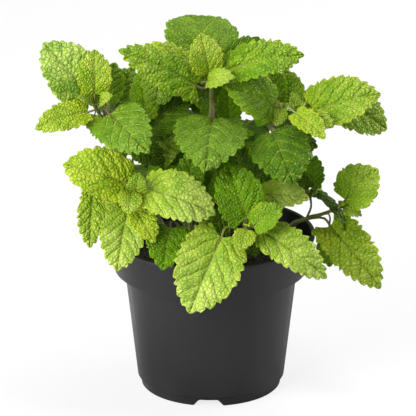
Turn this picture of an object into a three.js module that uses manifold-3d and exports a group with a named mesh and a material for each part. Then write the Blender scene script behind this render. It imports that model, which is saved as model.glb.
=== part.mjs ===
// A potted mint: a bushy herb with toothed, quilted leaves in opposite pairs, in a plain
// plastic nursery pot filled with potting soil.
// Millimetres, +Z up. The origin is on the pot's axis, on the surface that the pot stands on.
// The front of the plant faces -Y.
import * as THREE from "three";
import { mergeVertices } from "three/addons/utils/BufferGeometryUtils.js";
import Module from "manifold-3d";

const wasm = await Module();
wasm.setup();

// Driving dimensions of the pot.
const RIM_RADIUS = 60;
const POT_HEIGHT = 92;
const WALL = 1.3;
const LIP_OUT = 0.9;
const LIP_HEIGHT = 2;
const LIP_ROUND = 0.5;
const BAND_HEIGHT = 21;
const BAND_LOWER_RADIUS = 55.6;
const BODY_TOP_RADIUS = 49.9;
const BODY_BOTTOM_RADIUS = 42.5;
const FOOT_HEIGHT = 6;
const FOOT_STEP = 0.8;
const FOOT_TOP_RADIUS = 41.3;
const FOOT_RADIUS = 40.3;
const FOOT_RING = 2;
const FLOOR_HEIGHT = 5;
const NOTCH_COUNT = 3;
const NOTCH_TOP_WIDTH = 11;
const NOTCH_TURN = THREE.MathUtils.degToRad(-2);
const NOTCH_BOTTOM_WIDTH = 17.6;
const NOTCH_HEIGHT = 4.1;
const DRAIN_COUNT = 6;
const DRAIN_RADIUS = 4;
const DRAIN_CIRCLE = 26;
const POT_SIDES = 40;

// Driving dimensions of the soil.
const SOIL_HEIGHT = 82;
const SOIL_GAP = 0.35;
const SOIL_LUMP = 1.1;
const HOLE_GAP = 0.5;
const ROOT_HEIGHT = 70;

// Driving dimensions of the plant.
const BLADE_THICKNESS = 0.8;
const STEM_RADIUS = 1.8;
const STEM_TIP_RADIUS = 1.2;
const STALK_RADIUS = 0.85;
const STALK_TIP_RADIUS = 0.35;
const STALK_REACH = 0.15;
const STALK_BEND = 0.4;
const SHORT_STALK = 8;
const VIEW_ELEVATION = THREE.MathUtils.degToRad(20);

// The sides that the leaves are placed from, in degrees about the pot's axis.
const FRONT = 0;
const RIGHT = 90;
const BACK_RIGHT = 135;
const BEHIND = 180;
const LEFT = 270;

// The blade's outline: how full it is at the base and at the tip, how far its lobes reach
// behind the stalk, how far the veins sweep forward, and the teeth along its edge.
const BASE_FULLNESS = 0.5;
const TIP_FULLNESS = 0.7;
const WIDEST = BASE_FULLNESS / (BASE_FULLNESS + TIP_FULLNESS);
const LOBE = 5;
const LOBED_LENGTH = 42;
const LOBE_REACH = 0.11;
const VEIN_SWEEP = 0.15;
const TOOTH_PITCH = 6.5;
const TOOTH_TIP = 1.03;
const TOOTH_NOTCH = 0.9;
const TOOTH_LEAN = 0.68;

const FOLIAGE = new THREE.MeshStandardMaterial({ color: "#5f9a2f", roughness: 0.55 });
const POT_PLASTIC = new THREE.MeshStandardMaterial({ color: "#2c2d2f", roughness: 0.5 });
const SOIL = new THREE.MeshStandardMaterial({ color: "#1d1712", roughness: 1 });

// A closed geometry from shared vertices and triangles.
function closedGeometry(vertices, triangles) {
  const geometry = new THREE.BufferGeometry();
  const numbers = vertices.flatMap((vertex) => [vertex.x, vertex.y, vertex.z]);
  geometry.setAttribute("position", new THREE.Float32BufferAttribute(numbers, 3));
  geometry.setIndex(triangles.flat());
  return geometry;
}

// A solid that can be joined and cut.
function solid(geometry) {
  const bare = geometry.clone();
  bare.deleteAttribute("normal");
  bare.deleteAttribute("uv");
  const merged = mergeVertices(bare, 1e-4);
  return new wasm.Manifold(new wasm.Mesh({
    numProp: 3,
    vertProperties: new Float32Array(merged.attributes.position.array),
    triVerts: new Uint32Array(merged.index.array),
  }));
}

function mesh(name, body, material) {
  const shape = body.getMesh();
  const geometry = new THREE.BufferGeometry();
  geometry.setAttribute("position", new THREE.BufferAttribute(shape.vertProperties, 3));
  geometry.setIndex(new THREE.BufferAttribute(shape.triVerts, 1));
  geometry.computeVertexNormals();
  const part = new THREE.Mesh(geometry, material);
  part.name = name;
  return part;
}

// A body turned about the Z axis from a profile of [radius, height] points.
function lathed(profile) {
  const points = profile.map(([radius, height]) => new THREE.Vector2(radius, height));
  const lathe = new THREE.LatheGeometry(points, POT_SIDES);
  lathe.rotateX(Math.PI / 2);
  return lathe;
}

// The pot: foot ring, floor, tapered body, shoulder, rim band and rolled lip.
function potSolid() {
  const bandBottom = POT_HEIGHT - BAND_HEIGHT;
  const lipBottom = POT_HEIGHT - LIP_HEIGHT;
  const profile = [
    [0, FLOOR_HEIGHT],
    [FOOT_TOP_RADIUS - FOOT_RING, FLOOR_HEIGHT],
    [FOOT_RADIUS - FOOT_RING, 0],
    [FOOT_RADIUS, 0],
    [FOOT_TOP_RADIUS, FOOT_HEIGHT],
    [BODY_BOTTOM_RADIUS, FOOT_HEIGHT + FOOT_STEP],
    [BODY_TOP_RADIUS, bandBottom],
    [BAND_LOWER_RADIUS, bandBottom],
    [RIM_RADIUS - LIP_OUT, lipBottom],
    [RIM_RADIUS, lipBottom + LIP_ROUND],
    [RIM_RADIUS, POT_HEIGHT - LIP_ROUND],
    [RIM_RADIUS - LIP_ROUND, POT_HEIGHT],
    [RIM_RADIUS - LIP_OUT - WALL, POT_HEIGHT],
    [RIM_RADIUS - LIP_OUT - WALL, lipBottom],
    [BAND_LOWER_RADIUS - WALL, bandBottom + WALL],
    [BODY_TOP_RADIUS - WALL, bandBottom + WALL],
    [BODY_BOTTOM_RADIUS - WALL, FLOOR_HEIGHT + WALL],
    [0, FLOOR_HEIGHT + WALL],
  ];
  let pot = solid(lathed(profile));
  const notch = new THREE.Shape([
    new THREE.Vector2(-NOTCH_BOTTOM_WIDTH / 2, -1),
    new THREE.Vector2(NOTCH_BOTTOM_WIDTH / 2, -1),
    new THREE.Vector2(NOTCH_TOP_WIDTH / 2, NOTCH_HEIGHT),
    new THREE.Vector2(-NOTCH_TOP_WIDTH / 2, NOTCH_HEIGHT),
  ]);
  for (let index = 0; index < NOTCH_COUNT; index += 1) {
    const cut = new THREE.ExtrudeGeometry(notch, { depth: FOOT_RADIUS, bevelEnabled: false });
    cut.rotateX(Math.PI / 2);
    cut.translate(0, -FOOT_RADIUS / 2, 0);
    cut.rotateZ((index / NOTCH_COUNT) * 2 * Math.PI + NOTCH_TURN);
    pot = pot.subtract(solid(cut));
  }
  for (let index = 0; index < DRAIN_COUNT; index += 1) {
    const drain = new THREE.CylinderGeometry(DRAIN_RADIUS, DRAIN_RADIUS, 4 * WALL, 10);
    drain.rotateX(Math.PI / 2);
    drain.translate(DRAIN_CIRCLE, 0, FLOOR_HEIGHT + WALL / 2);
    drain.rotateZ(((index + 0.5) / DRAIN_COUNT) * 2 * Math.PI);
    pot = pot.subtract(solid(drain));
  }
  return pot;
}

// The soil's lumpy surface, above its mean height.
function soilLump(x, y) {
  const broad = Math.sin(x * 0.11 + 1) * Math.cos(y * 0.13);
  const fine = Math.sin(x * 0.31 + y * 0.17) * Math.sin(y * 0.37 + 2);
  return SOIL_LUMP * (broad + 0.6 * fine);
}

// The soil fills the pot, stepped to its inside, and stands 0.35 mm clear of the wall.
function soilSolid(holes) {
  const shoulder = POT_HEIGHT - BAND_HEIGHT + WALL + SOIL_GAP;
  const slope = (RIM_RADIUS - LIP_OUT - BAND_LOWER_RADIUS) / (BAND_HEIGHT - LIP_HEIGHT - WALL);
  const edge = BAND_LOWER_RADIUS - WALL - SOIL_GAP + slope * (SOIL_HEIGHT - SOIL_LUMP - shoulder);
  const profile = [
    [0, FLOOR_HEIGHT + WALL + SOIL_GAP],
    [BODY_BOTTOM_RADIUS - WALL - SOIL_GAP, FLOOR_HEIGHT + WALL + SOIL_GAP],
    [BODY_TOP_RADIUS - WALL - SOIL_GAP, shoulder],
    [BAND_LOWER_RADIUS - WALL - SOIL_GAP, shoulder],
    [edge, SOIL_HEIGHT - SOIL_LUMP],
    [edge - 4, SOIL_HEIGHT],
    [edge * 0.7, SOIL_HEIGHT],
    [edge * 0.4, SOIL_HEIGHT],
    [0, SOIL_HEIGHT],
  ];
  const geometry = lathed(profile);
  const points = geometry.attributes.position;
  for (let index = 0; index < points.count; index += 1) {
    if (points.getZ(index) > SOIL_HEIGHT - 0.1) {
      points.setZ(index, SOIL_HEIGHT + soilLump(points.getX(index), points.getY(index)));
    }
  }
  return holes.reduce((soil, hole) => soil.subtract(hole), solid(geometry));
}

// A tube with flat sides along a smooth curve, narrowing from its first radius to its last. Each
// ring's normal is the last one's, carried on without a twist.
function taperedTube(curve, steps, sides, startRadius, endRadius) {
  const vertices = [];
  const triangles = [];
  const normal = new THREE.Vector3(0.9, 0.3, 0.2);
  for (let ring = 0; ring <= steps; ring += 1) {
    const share = ring / steps;
    const point = curve.getPoint(share);
    const tangent = curve.getTangent(share);
    normal.addScaledVector(tangent, -normal.dot(tangent)).normalize();
    const binormal = tangent.cross(normal);
    const radius = THREE.MathUtils.lerp(startRadius, endRadius, share);
    for (let corner = 0; corner < sides; corner += 1) {
      const angle = (corner / sides) * 2 * Math.PI;
      vertices.push(point.clone()
        .addScaledVector(normal, radius * Math.cos(angle))
        .addScaledVector(binormal, radius * Math.sin(angle)));
    }
  }
  for (let ring = 0; ring < steps; ring += 1) {
    for (let corner = 0; corner < sides; corner += 1) {
      const a = ring * sides + corner;
      const b = ring * sides + ((corner + 1) % sides);
      triangles.push([a, b, b + sides], [a, b + sides, a + sides]);
    }
  }
  const end = steps * sides;
  for (let corner = 2; corner < sides; corner += 1) {
    triangles.push([0, corner, corner - 1], [end, end + corner - 1, end + corner]);
  }
  return solid(closedGeometry(vertices, triangles));
}

// A direction or place in the front view's own frame, turned to the side that it is seen from.
const turned = (vector, from) => (
  vector.applyAxisAngle(new THREE.Vector3(0, 0, 1), THREE.MathUtils.degToRad(from)));

// A place given as seen from one side, 20 degrees above: millimetres across to the right, up in
// the plane of view, and in depth away from the viewer.
const seen = ([across, up, depth], from = FRONT) => turned(new THREE.Vector3(
  across,
  depth,
  (up - depth * Math.sin(VIEW_ELEVATION)) / Math.cos(VIEW_ELEVATION),
), from);

// A blade from its base to its tip. at is the share of the stem where its stalk grows. tilt is
// how far its upper face leans from straight up to the viewer, and roll raises its left half.
// arch lifts the middle of the midrib and cup the edges, as shares of the length and of the
// half width.
const leaf = (at, base, tip, width, shape = {}) => {
  const { tilt = 45, arch = 0.08, cup = 0.12, roll = 0, from = FRONT } = shape;
  return { at, base: seen(base, from), tip: seen(tip, from), width, tilt, arch, cup, roll, from };
};

const behind = (at, base, tip, width, shape = {}) => (
  leaf(at, base, tip, width, { ...shape, from: BEHIND })
);

// A leaf's own directions: along the midrib, to its left side, and out of its upper face.
function directions({ base, tip, tilt, roll, from }) {
  const along = tip.clone().sub(base);
  const length = along.length();
  along.normalize();
  const lean = THREE.MathUtils.degToRad(tilt);
  const facing = turned(new THREE.Vector3(0, -Math.sin(lean), Math.cos(lean)), from);
  const up = facing.addScaledVector(along, -facing.dot(along)).normalize();
  up.applyAxisAngle(along, -THREE.MathUtils.degToRad(roll));
  const side = up.clone().cross(along);
  return { along, side, up, length };
}

// How wide the blade is at a share of its length, as a share of its half width.
function fullness(share) {
  const base = (share / WIDEST) ** BASE_FULLNESS;
  return base * ((1 - share) / (1 - WIDEST)) ** TIP_FULLNESS;
}

// A point of the blade's middle surface and the way it faces there. row runs from the base to
// the tip along the veins, and span from the midrib to the edges at -1 and 1.
function bladePoint(blade, row, span) {
  const { along, side, up, length } = directions(blade);
  const half = blade.width / 2;
  const midrib = row - VEIN_SWEEP * Math.sin(Math.PI * row);
  const lobe = LOBE * Math.min(1, length / LOBED_LENGTH);
  const edge = row - lobe * row * Math.exp(-row / LOBE_REACH);
  const x = THREE.MathUtils.lerp(midrib, edge, Math.abs(span));
  const y = fullness(row) * span;
  const z = blade.arch * length * 4 * x * (1 - x) + blade.cup * half * y * y;
  const point = blade.base.clone()
    .addScaledVector(along, x * length)
    .addScaledVector(side, y * half)
    .addScaledVector(up, z);
  const facing = up.clone()
    .addScaledVector(along, -blade.arch * 4 * (1 - 2 * x))
    .addScaledVector(side, -2 * blade.cup * y)
    .normalize();
  return { point, facing };
}

// The blade: a thin toothed plate, split into triangles alike on both faces.
function bladeSolid(blade) {
  const { length } = directions(blade);
  const teeth = THREE.MathUtils.clamp(Math.round(length / TOOTH_PITCH), 3, 7);
  const spine = teeth > 5 ? 4 : 3;
  const places = [];
  const midribs = [];
  for (let index = 0; index <= spine; index += 1) {
    midribs.push(places.push([index / spine, 0]) - 1);
  }
  const triangles = [];
  const rim = [];
  for (const sign of [1, -1]) {
    const face = (a, b, c) => triangles.push(sign > 0 ? [a, c, b] : [a, b, c]);
    const notches = [midribs[0]];
    const edge = [midribs[0]];
    for (let tooth = 1; tooth < teeth; tooth += 1) {
      const point = places.push([(tooth - 1 + TOOTH_LEAN) / teeth, sign * TOOTH_TIP]) - 1;
      const notch = places.push([tooth / teeth, sign * TOOTH_NOTCH]) - 1;
      face(notches.at(-1), point, notch);
      notches.push(notch);
      edge.push(point, notch);
    }
    notches.push(midribs[spine]);
    edge.push(midribs[spine]);
    stitch(places, midribs, notches, face);
    rim.push(sign > 0 ? edge.reverse() : edge);
  }
  return plate(places.map(([row, span]) => bladePoint(blade, row, span)), triangles, rim);
}

// Triangles between the midrib and one edge, which share their two ends.
function stitch(places, midribs, notches, face) {
  let inner = 0;
  let outer = 0;
  while (inner < midribs.length - 1 && outer < notches.length - 1) {
    const innerNext = places[midribs[inner + 1]][0];
    const outerNext = places[notches[outer + 1]][0];
    if (outer === 0 || (outerNext <= innerNext && outer < notches.length - 2)) {
      if (outer + inner > 0) {
        face(midribs[inner], notches[outer], notches[outer + 1]);
      }
      outer += 1;
    } else {
      face(midribs[inner], notches[outer], midribs[inner + 1]);
      inner += 1;
    }
  }
}

// A plate of the blade's thickness from its middle surface. rim holds its edges, in order.
function plate(points, triangles, rim) {
  const offset = BLADE_THICKNESS / 2;
  const tops = points.map(({ point, facing }) => point.clone().addScaledVector(facing, offset));
  const bottoms = points.map(({ point, facing }) => point.clone().addScaledVector(facing, -offset));
  const count = points.length;
  const faces = [...triangles];
  triangles.forEach(([a, b, c]) => faces.push([a + count, c + count, b + count]));
  for (const edge of rim) {
    for (let index = 0; index + 1 < edge.length; index += 1) {
      const [a, b] = [edge[index], edge[index + 1]];
      faces.push([a, a + count, b + count], [a, b + count, b]);
    }
  }
  return solid(closedGeometry([...tops, ...bottoms], faces));
}

// The leaf's stalk, from inside the stem to well inside the blade. A short one has no bend.
function stalkSolid(stemCurve, blade) {
  const start = stemCurve.getPointAt(blade.at);
  const { along } = directions(blade);
  const reach = start.distanceTo(blade.base);
  const inside = bladePoint(blade, STALK_REACH, 0).point;
  const bend = blade.base.clone().addScaledVector(along, -STALK_BEND * reach);
  const bent = reach > SHORT_STALK;
  const route = bent ? [start, bend, blade.base, inside] : [start, blade.base, inside];
  const curve = new THREE.CatmullRomCurve3(route, false, "centripetal");
  return taperedTube(curve, route.length - 1, 3, STALK_RADIUS, STALK_TIP_RADIUS);
}

// A stem through its places, from its root, or from inside the stem that it branches from.
const stem = (route, leaves, radius = STEM_RADIUS) => (
  { curve: new THREE.CatmullRomCurve3(route, false, "centripetal"), leaves, radius }
);

const rooted = ([x, y], route, leaves, from = FRONT) => stem([
  new THREE.Vector3(x, y, ROOT_HEIGHT),
  new THREE.Vector3(x, y, SOIL_HEIGHT + SOIL_LUMP),
  ...route.map((place) => seen(place, from)),
], leaves);

const branch = (route, leaves) => stem(route.map((place) => seen(place)), leaves, STEM_TIP_RADIUS);

function stemSolid({ curve, radius }) {
  const steps = Math.round(curve.getLength() / 16) + 2;
  return taperedTube(curve, steps, 4, radius, radius - STEM_RADIUS + STEM_TIP_RADIUS);
}

// The hole in the soil that a rooted stem stands in.
function holeSolid({ curve, radius }) {
  const points = curve.getPoints(60).filter((point) => point.z < SOIL_HEIGHT + 4);
  points[0].z -= HOLE_GAP;
  const route = [points[0], points[Math.floor(points.length / 2)], points.at(-1)];
  const wide = new THREE.CatmullRomCurve3(route);
  return taperedTube(wide, 2, 4, radius + HOLE_GAP, radius + HOLE_GAP);
}

const shoots = {
  shoot_top_left: [rooted([-22, -4], [[-40, 112, -8], [-58, 144, -6], [-67, 160, -5]], [
    leaf(0.97, [-69, 163, -6], [-95, 194, 4], 32),
    leaf(0.97, [-66, 165, -8], [-66, 190, 0], 20),
    leaf(0.9, [-71, 161, 0], [-91.5, 171, 4], 17),
    leaf(0.95, [-70, 154.5, -17], [-99, 145.5, -24], 18),
    leaf(0.95, [-66, 153, -14], [-68, 144, -21], 11),
    leaf(1, [-63, 160, -12], [-56, 164, -18], 8),
    leaf(0.9, [-60, 161, 4], [-55, 183, 10], 19),
    leaf(0.82, [-54, 160, 9], [-44.5, 181, 16], 17),
    leaf(0.82, [-55.5, 151, -20], [-36.5, 131.5, -56], 33, { tilt: 55 }),
    behind(0.82, [54, 150, -20], [60, 124, -46], 32),
    leaf(0.9, [-18, 140, -62], [-26, 118, -84], 20, { from: LEFT }),
    leaf(0.6, [-4, 114, -48], [-8, 92, -62], 24, { from: LEFT }),
    leaf(0.25, [8, 92, -48], [8, 68, -68], 27, { from: LEFT }),
  ])],
  shoot_left: [rooted([-22, -24], [[-32, 88, -32], [-41, 104, -39], [-43, 112, -40]], [
    leaf(0.98, [-48, 114, -42], [-83, 125, -38], 31),
    leaf(0.98, [-35, 111, -44], [2, 97, -54], 30),
    leaf(1, [-42, 108, -45], [-40.5, 120, -49], 12),
    leaf(1, [-45, 109, -48], [-46, 97, -58], 14),
    leaf(0.86, [-47, 99, -42], [-53, 65, -60], 26),
    leaf(0.9, [-42, 99, -46], [-32, 81, -60], 15),
    leaf(0.8, [-67, 109, -26], [-69, 78, -34], 16),
  ])],
  shoot_top: [rooted([0, 0], [[-2, 120, 2], [0, 156, 0], [0, 176, 0]], [
    leaf(0.99, [-3, 182, 4], [-14, 208.5, 44], 44, { arch: 0.3, cup: -0.05, roll: 17 }),
    leaf(0.99, [-1, 177, -7], [-6, 199, -4], 20),
    leaf(0.97, [-9, 170, -10], [-51.5, 189.3, -15], 25.5, { cup: -0.12 }),
    leaf(0.97, [8, 178.5, -6], [52, 187.5, -11], 23.5),
    leaf(0.97, [-2, 172, -11], [13, 174, -21], 13),
    leaf(0.97, [-10, 180, -2], [-37, 193, -4], 13),
    leaf(0.97, [9, 183.5, -1], [31, 195, 2], 17),
    leaf(0.9, [-26, 180, 3], [-32, 158.5, -3], 22),
    leaf(0.88, [1, 151, -15], [-3, 122, -60], 42, { tilt: 55 }),
    behind(0.78, [10, 141, -15], [10, 119, -52], 34),
    leaf(0.4, [8, 98, -31], [-1, 83, -40], 18),
  ])],
  shoot_inner: [rooted([-12, 16], [[-26, 112, 14], [-36, 136, 10], [-40, 148, 8]], [
    leaf(0.98, [-37, 152, 3], [-40, 179, 8], 17),
    leaf(0.9, [-35, 131, 6], [-17, 138, 4], 26),
    leaf(0.85, [-40, 141, -8], [-35.5, 126.5, -15], 13),
    leaf(0.98, [-36, 146, 8], [-12, 164, 8], 26),
    leaf(0.75, [-24, 116, 12], [-2, 124, 14], 24),
  ])],
  shoot_right: [rooted([18, 0], [[26, 118, 4], [36, 142, 0], [40, 156, 2]], [
    leaf(0.97, [35, 158.5, -6], [8.5, 169, -14], 28.5),
    leaf(1, [44.5, 160, 9], [43, 179.5, 15], 19),
    leaf(0.9, [35, 143, -16], [46, 114, -56], 35, { tilt: 55 }),
    behind(0.9, [-36, 144, -14], [-44, 118, -42], 32),
    leaf(0.8, [44, 138, -8], [57, 131, -12], 12),
    leaf(0.7, [23, 125, -8], [37, 110, -12], 20),
    leaf(0.6, [29, 108, -24], [55, 106, -32], 19),
    leaf(0.97, [40, 157, -5], [37, 147, -12], 10),
  ])],
  shoot_top_right: [rooted([28, 10], [[42, 112, 8], [50, 140, 2], [50, 156, -2]], [
    leaf(0.98, [58, 155.5, -8], [95.5, 165, -12], 30),
    leaf(0.94, [68, 163, 5], [100.7, 145, 7], 25),
    leaf(0.98, [48, 154, -18], [64, 140, -36], 15),
    leaf(0.75, [-25, 134, -58], [-28, 117, -78], 22, { from: BACK_RIGHT }),
    leaf(0.88, [17, 124, -47], [13, 98, -59], 24, { from: RIGHT }),
    leaf(0.45, [18, 102, -48], [20, 82, -64], 26, { from: RIGHT }),
    leaf(0.98, [56, 153, -19], [69, 146, -28], 11),
    leaf(1, [51, 158, -7], [54, 163, -12], 6),
    leaf(0.98, [52, 158, 4], [58, 168, 9], 10),
  ])],
  shoot_front: [rooted([10, -26], [[13, 80, -36], [18, 87, -46], [21, 90, -50]], [
    leaf(0.98, [20, 94, -51], [9, 125, -39], 28),
    leaf(0.98, [24, 90, -55], [40, 101, -54], 17),
    leaf(0.98, [29, 87, -50], [65, 61, -60], 23),
    leaf(0.98, [20, 88, -56], [17, 77, -64], 13),
    leaf(0.9, [23, 82, -46], [25, 73, -50], 11),
    leaf(0.9, [6, 84, -54], [-12, 41.5, -74], 38, { tilt: 60 }),
  ])],
  shoot_front_left: [rooted([-8, -34], [[-10, 78, -38], [-14, 86, -41]], [
    leaf(0.98, [-23, 89, -46], [-27, 66, -65], 24, { tilt: 60 }),
    leaf(0.98, [-14, 104, -30], [-10, 134, -22], 18),
    leaf(0.9, [-22, 106, -26], [-35, 124, -20], 14),
    leaf(0.9, [-5, 102, -27], [2, 122, -21], 17),
  ])],
  shoot_low_right: [
    rooted([40, 2], [[47, 91, -2], [56, 94.5, -5], [66, 97.5, -8], [74, 101, -10]], [
      leaf(0.98, [77.5, 105, -10], [94.5, 124, -7], 27),
      leaf(1, [76, 100, -12], [86, 96, -17], 8),
      leaf(0.66, [68.5, 90, -10], [97, 54.7, -24], 25, { tilt: 55 }),
      leaf(0.47, [68, 88.5, -2], [68.5, 66.5, -4], 15),
    ]),
    branch([[55, 94.5, -4], [57.5, 101, -4], [57, 107, -3]], [
      leaf(0.98, [58, 112, -4], [60, 130, -2], 13),
      leaf(0.98, [54, 110, -6], [48, 120, -9], 9),
      leaf(0.98, [58.5, 109, -6], [77, 88.5, -14], 13, { tilt: 0, arch: 0.12 }),
    ]),
  ],
  shoot_back_right: [
    rooted([20, 28], [[-30, 90, -34], [-38, 106, -40], [-40, 114, -42]], [
      behind(0.98, [-45, 115, -45], [-72, 124, -46], 27),
      behind(0.98, [-34, 112, -46], [2, 100, -56], 30),
      behind(1, [-39, 115, -45], [-36, 125, -48], 10),
      behind(1, [-41, 112, -46], [-44, 102, -54], 11),
      behind(0.86, [-44, 101, -46], [-50, 70, -62], 24),
      behind(0.9, [-38, 101, -50], [-28, 82, -62], 16),
    ], BEHIND),
  ],
  shoot_back_left: [
    rooted([-12, 30], [[15, 80, -38], [20, 89, -47], [22, 92, -50]], [
      behind(0.98, [21, 99, -51], [17, 117, -44], 24),
      behind(0.98, [28, 94, -57], [44, 99, -58], 18),
      behind(0.98, [30, 87, -52], [62, 64, -60], 22),
      behind(0.98, [21, 88, -56], [18, 78, -66], 12),
      behind(0.9, [8, 86, -56], [-10, 44, -74], 38, { tilt: 60 }),
    ], BEHIND),
  ],
  shoot_far_left: [
    rooted([-34, 12], [[46, 92, -18], [54, 106, -23], [56, 112, -26]], [
      behind(0.98, [61, 108, -30], [80, 97, -36], 22),
      behind(0.98, [52, 114, -28], [32, 126, -28], 24),
      behind(0.86, [60, 102, -30], [68, 74, -44], 24),
      behind(0.86, [49, 101, -28], [38, 82, -38], 20),
      behind(1, [58, 116, -27], [63, 124, -30], 9),
    ], BEHIND),
  ],
  shoot_middle: [
    rooted([10, 22], [[14, 112, 18], [14, 134, 16], [11, 152, 16], [8, 169, 18]], [
      behind(0.98, [-12, 159, -22], [-46, 168, -20], 28),
      behind(0.98, [-3, 159, -22], [34, 170, -18], 28),
      behind(1, [-8, 162, -21], [-9, 175, -20], 12),
      behind(0.9, [-15, 150, -26], [-25, 124, -50], 28),
      leaf(0.7, [5, 158, 13], [-10, 174, 13], 23),
      leaf(0.7, [25, 151, 12], [39, 160, 8], 15),
      leaf(0.55, [20, 137, 18], [38, 129, 17], 19),
      leaf(0.55, [14, 128, 12], [8, 106, 4], 24),
      leaf(0.85, [6, 156, 17], [-19, 165.5, 19], 18),
      leaf(0.62, [16, 143, 11], [21, 124, 3], 18),
      leaf(0.8, [11, 150, 14], [19, 163, 14], 13),
    ]),
  ],
};

const group = new THREE.Group();
group.add(mesh("pot", potSolid(), POT_PLASTIC));
const stems = Object.values(shoots).flat();
const holes = stems.filter(({ radius }) => radius === STEM_RADIUS).map(holeSolid);
group.add(mesh("soil", soilSolid(holes), SOIL));
for (const [name, parts] of Object.entries(shoots)) {
  const pieces = parts.flatMap((part) => [
    stemSolid(part),
    ...part.leaves.map((blade) => stalkSolid(part.curve, blade)),
    ...part.leaves.map(bladeSolid),
  ]);
  group.add(mesh(name, pieces.reduce((whole, piece) => whole.add(piece)), FOLIAGE));
}

export default group;
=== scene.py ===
"""A potted mint: the finished surfaces of its leaves, stems, soil and nursery pot.

Sizes are written in millimetres and turned into metres when a mesh is made. The plant's front
faces -Y, and +Z is up.
"""

import logging
import math
from dataclasses import dataclass, field
from enum import Enum
from functools import partial, reduce

import bpy
import numpy as np
from bpy.types import Material, Mesh, Node, NodeSocket, NodeTree, Object
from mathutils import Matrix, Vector, noise
from numpy import ndarray
from numpy.random import Generator


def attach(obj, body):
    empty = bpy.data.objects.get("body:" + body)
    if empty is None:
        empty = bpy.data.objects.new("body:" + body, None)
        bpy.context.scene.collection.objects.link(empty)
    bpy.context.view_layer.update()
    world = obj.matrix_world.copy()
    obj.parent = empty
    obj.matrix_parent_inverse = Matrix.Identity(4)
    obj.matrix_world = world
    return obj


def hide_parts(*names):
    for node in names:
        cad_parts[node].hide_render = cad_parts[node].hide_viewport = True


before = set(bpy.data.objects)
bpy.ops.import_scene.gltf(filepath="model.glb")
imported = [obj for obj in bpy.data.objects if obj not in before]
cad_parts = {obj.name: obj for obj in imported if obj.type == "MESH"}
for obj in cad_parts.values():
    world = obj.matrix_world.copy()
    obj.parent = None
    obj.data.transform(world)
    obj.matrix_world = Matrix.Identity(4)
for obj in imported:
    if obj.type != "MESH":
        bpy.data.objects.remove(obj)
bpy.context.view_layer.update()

MM = 0.001
SEED = 20
SOIL_SEED = 120
ROUTE_STEPS = 200
VIEW_ELEVATION = math.radians(20)
LOG = logging.getLogger("potted_mint")

Place = tuple[float, float, float]
Colour = tuple[float, float, float, float]


class Side(Enum):
    """The side that a leaf is placed from, in degrees about the pot's axis."""

    FRONT = 0
    RIGHT = 90
    BACK_RIGHT = 135
    BEHIND = 180
    LEFT = 270


@dataclass(frozen=True)
class LeafTone:
    """How one kind of leaf differs from the others.

    light runs from deep green at 0 to bright yellow-green at 1. Besides each leaf's own green, it
    holds painted light and shade: it is higher on leaves that catch the light and lower on leaves
    that sit in shade. pale is the share of painted whitish sheen, which also deepens the painted
    shade in the vein grooves, rib the purple-brown of the midrib, lines how pale the veins stand
    out, and quilt scales how deeply the blade is quilted, in cells that measure cell millimetres
    on the largest leaves.
    """

    light: float
    pale: float
    rib: float
    lines: float
    quilt: float
    cell: float


class Tone(Enum):
    """The kinds of leaf on the plant."""

    # Painted light: the light numbers below are raised for leaves that catch the light and lowered for
    # leaves in shade, besides each leaf's own green; the DEEP and DARK kinds are mostly leaves that sit
    # in shade. The kinds whose pale is 1.2 carry the most painted whitish sheen.
    BRIGHT = LeafTone(0.78, 0.4, 0.3, 0.2, 1.0, 2.9)
    SUNNY = LeafTone(0.73, 1.2, 0.6, 0.6, 0.65, 2.4)
    FROSTY = LeafTone(0.58, 1.2, 0.7, 0.2, 0.9, 3.0)
    FRESH = LeafTone(0.68, 0.5, 0.6, 0.45, 1.0, 2.6)
    YOUNG = LeafTone(0.74, 0.6, 0.9, 0.1, 1.5, 1.9)
    RUGGED = LeafTone(0.56, 0.3, 0.9, 0.2, 1.3, 2.2)
    GREEN = LeafTone(0.28, 0.2, 1.1, 0.58, 1.0, 2.2)
    DULL = LeafTone(0.48, 0.0, 0.7, 0.4, 0.9, 2.0)
    DEEP = LeafTone(0.12, 0.0, 0.8, 0.42, 1.0, 2.2)
    DARK = LeafTone(0.4, 0.0, 0.6, 0.2, 1.2, 2.1)
    SHADED = LeafTone(0.38, 0.0, 0.3, 0.15, 0.7, 2.2)


def unit(vector: ndarray) -> ndarray:
    """Scales a vector to a length of one."""
    return vector / np.linalg.norm(vector)


def smoothstep(low: float, high: float, value: ndarray) -> ndarray:
    """Rises smoothly from 0 at low to 1 at high."""
    share = np.clip((value - low) / (high - low), 0.0, 1.0)
    return share * share * (3.0 - 2.0 * share)


def turned(vector: ndarray, side: Side) -> ndarray:
    """Turns a vector of the front view's frame to the side that it is seen from."""
    angle = math.radians(side.value)
    x, y, z = vector
    cosine, sine = math.cos(angle), math.sin(angle)
    return np.array([x * cosine - y * sine, x * sine + y * cosine, z])


def seen(place: Place, side: Side = Side.FRONT) -> ndarray:
    """Turns a place as seen from one side, 20 degrees above, into the part's own frame.

    Args:
        place: Millimetres across to the right, up in the plane of view, and away in depth.
        side: The side that it is seen from.

    Returns:
        The place in millimetres.
    """
    across, up, depth = place
    height = (up - depth * math.sin(VIEW_ELEVATION)) / math.cos(VIEW_ELEVATION)
    return turned(np.array([across, depth, height]), side)


def walk(points: ndarray) -> ndarray:
    """Adds up the length along points, from 0 at the first one."""
    return np.concatenate([[0.0], np.cumsum(np.linalg.norm(np.diff(points, axis=0), axis=1))])


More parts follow.
